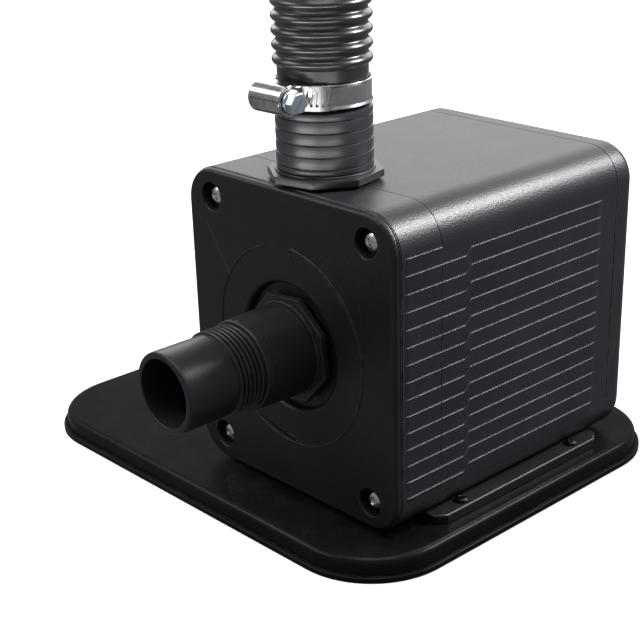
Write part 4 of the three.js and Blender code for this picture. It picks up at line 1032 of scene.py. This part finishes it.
seal_rubber = moulded("seal rubber", (0.006, 0.006, 0.006), (0.011, 0.011, 0.011),
                      0.62, 0.0003, 0.006, Specular_IOR_Level=0.3)
carried(seal_rubber, "inlet_seal", "outlet_seal", "casing_seal", "front_bush", "rear_bush", "gland_seal")
carried(body_plastic, "casing_front", "casing_can", "motor_case")
carried(gland_plastic, "gland_locknut")
carried(zinc_plate, "casing_screw_1", "casing_screw_2", "casing_screw_3", "casing_screw_4")
white_nylon = moulded("white nylon", (0.62, 0.6, 0.55), (0.72, 0.7, 0.65),
                      0.4, 0.0008, 0.01, rubbed=(0.85, 0.85, 0.82))
carried(white_nylon, "impeller", "bobbin_left", "bobbin_right", "terminal_block")
white_ceramic = moulded("white ceramic", (0.78, 0.76, 0.72), (0.84, 0.83, 0.8),
                        0.2, 0.0004, 0.002, rubbed=(0.9, 0.9, 0.9), dusty=0.0)
carried(white_ceramic, "pump_shaft")
grey_ferrite = moulded("grey ferrite", (0.03, 0.03, 0.032), (0.055, 0.055, 0.058),
                       0.5, 0.0002, 0.008, rubbed=(0.16, 0.16, 0.17))
carried(grey_ferrite, "rotor_magnet")
potting = moulded("potting resin", (0.012, 0.01, 0.009), (0.022, 0.019, 0.017),
                  0.3, 0.003, 0.03, rubbed=(0.05, 0.05, 0.05))
carried(potting, "potting_resin")


def striped(name, along, pitch, bright, dull, metallic, rough):
    """Metal laid in fine repeated layers or turns along one direction."""
    def build(tree):
        bands = {"Vector": object_place(tree), "Scale": 0.314 / pitch, "Distortion": 0.4, "Detail": 1.0}
        wave = wired(tree, "ShaderNodeTexWave", bands, wave_type="BANDS", bands_direction=along).outputs[1]
        even = stretched(tree, wave, to_low=rough + 0.12, to_high=rough)
        bump = wired(tree, "ShaderNodeBump", {"Strength": 0.8, "Distance": 0.1 * MM, "Height": wave})
        return blended(tree, wave, dull, bright), even, bump
    return finish(name, build, Metallic=metallic)


core_steel = striped("laminated core steel", "Y", 0.0005, (0.36, 0.37, 0.38), (0.16, 0.16, 0.17), 1.0, 0.42)
carried(core_steel, "stator_core")
copper_wire = striped("enamelled copper wire", "Z", 0.0006, (0.72, 0.3, 0.13), (0.32, 0.1, 0.04), 0.9, 0.28)
carried(copper_wire, "coil_left", "coil_right")

# ---- Studio -------------------------------------------------------------------------------------
# Pale floor, soft boxes at the left rear, above and in front, small ones at the right rear for the
# body's rounded corner, lights lying on the floor for the upright round pieces, and the camera.

bpy.ops.mesh.primitive_plane_add(size=14)
floor = bpy.context.active_object
floor.name = "studio_floor"
paper = bpy.data.materials.new("pale floor")
paper.use_nodes = True
tree = paper.node_tree
seen = wired(tree, "ShaderNodeLightPath").outputs["Is Camera Ray"]
grain = noise(tree, object_place(tree), 3.0)
pale = blended(tree, grain, (0.9, 0.9, 0.9), (0.94, 0.94, 0.94))
shade = blended(tree, seen, (0.22, 0.22, 0.225), pale)
glow = blended(tree, seen, (0.0, 0.0, 0.0), (1.0, 1.0, 1.0))
surface = tree.nodes["Principled BSDF"]
tree.links.new(shade, surface.inputs["Base Color"])
tree.links.new(glow, surface.inputs["Emission Color"])
surface.inputs["Emission Strength"].default_value = 0.7
surface.inputs["Roughness"].default_value = 0.9
surface.inputs["Specular IOR Level"].default_value = 0.0
floor.data.materials.append(paper)

studio = bpy.data.worlds.new("studio")
bpy.context.scene.world = studio
studio.use_nodes = True
tree = studio.node_tree
seen = wired(tree, "ShaderNodeLightPath").outputs["Is Camera Ray"]
dim = tree.nodes["Background"]
dim.inputs["Color"].default_value = (0.9, 0.93, 1.0, 1)
dim.inputs["Strength"].default_value = 0.33
white = wired(tree, "ShaderNodeBackground", {"Color": (1, 1, 1, 1), "Strength": 1.0})
both = wired(tree, "ShaderNodeMixShader", {0: seen, 1: dim.outputs[0], 2: white.outputs[0]})
tree.links.new(both.outputs[0], tree.nodes["World Output"].inputs[0])

aim = Vector((0.043, -0.01, 0.12))


def area_light(name, width, height, watts):
    """A rectangular light that the camera doesn't see."""
    light = bpy.data.lights.new(name, "AREA")
    light.shape = "RECTANGLE"
    light.size, light.size_y = width, height
    light.energy = watts
    lamp = bpy.data.objects.new(name, light)
    bpy.context.scene.collection.objects.link(lamp)
    lamp.visible_camera = False
    return lamp


def soft_box(name, direction, distance, width, height, watts):
    """A soft light in one direction from the pump, facing it."""
    lamp = area_light(name, width, height, watts)
    away = Vector(direction).normalized()
    lamp.location = aim + away * distance
    lamp.rotation_mode = "QUATERNION"
    lamp.rotation_quaternion = away.to_track_quat("Z", "Y")
    return lamp


rear_left = soft_box("rear left box", (-0.62, 0.68, 0.46), 0.85, 1.2, 0.5, 4.4)
towards_corner = (0.47, 0.63, 0.61)
rear_right = soft_box("rear right box", towards_corner, 1.1, 0.3, 0.3, 25)
low_light = soft_box("rear right box, tail and plate", towards_corner, 1.1, 0.3, 0.3, 6)
soft_box("overhead box", (0.1, -0.1, 1.0), 1.8, 1.0, 1.0, 11)
soft_box("front fill", (-0.5, -0.55, 0.6), 1.6, 1.0, 0.6, 8)


def only_on(lamp, names, state):
    """Limits a light to named pieces, or keeps it off them."""
    chosen = bpy.data.collections.new(lamp.name + " pieces")
    for name in names:
        chosen.objects.link(bpy.data.objects[name])
    lamp.light_linking.receiver_collection = chosen
    for item in chosen.collection_objects:
        item.light_linking.link_state = state


only_on(rear_left, ["plate_tray"], "EXCLUDE")
only_on(rear_right, [floor.name, "suction_tail", "plate_tray"], "EXCLUDE")
only_on(low_light, ["suction_tail", "plate_tray"], "INCLUDE")


glow_distance, glow_width, glow_depth, glow_height = 0.5, 0.42, 0.3, 0.003
hose_axis_x, hose_axis_y = 0.043, -0.047


def floor_glow(name, azimuth, watts):
    """A light lying on the floor beside the pump, facing up, for the glossy upright pieces."""
    lamp = area_light(name, glow_width, glow_depth, watts)
    a = radians(azimuth)
    x, y = hose_axis_x + glow_distance * cos(a), hose_axis_y + glow_distance * sin(a)
    lamp.location = (x, y, glow_height)
    lamp.rotation_euler = (pi, 0, a + pi / 2)
    return lamp


upright = ["delivery_tail", "hose_connector"]
clamp_pieces = ["clamp_strap", "clamp_saddle", "clamp_worm_screw"]
only_on(floor_glow("floor glow front", -85, 7.5), upright, "INCLUDE")
only_on(floor_glow("floor glow right", -31, 4.5), upright, "INCLUDE")
only_on(floor_glow("floor glow clamp", -70, 1.6), clamp_pieces, "INCLUDE")

camera_data = bpy.data.cameras.new("camera")
camera = bpy.data.objects.new("camera", camera_data)
bpy.context.scene.collection.objects.link(camera)
bpy.context.scene.camera = camera
camera_data.lens, camera_data.sensor_width = 78.7, 36
camera_data.shift_x, camera_data.shift_y = -0.0302, 0.0615
yaw, pitch, roll = radians(47.02), radians(23.12), radians(-1.42)
right = Vector((cos(yaw), sin(yaw), 0))
forward = Vector((-sin(yaw) * cos(pitch), cos(yaw) * cos(pitch), -sin(pitch)))
up = right.cross(forward)
rolled_right = right * cos(roll) + up * sin(roll)
rolled_up = up * cos(roll) - right * sin(roll)
facing = Matrix((rolled_right, rolled_up, -forward)).transposed()
camera_place = (0.4266, -0.3997, 0.2853)
camera.matrix_world = Matrix.Translation(camera_place) @ facing.to_4x4()
bpy.context.scene.view_settings.view_transform = "Standard"
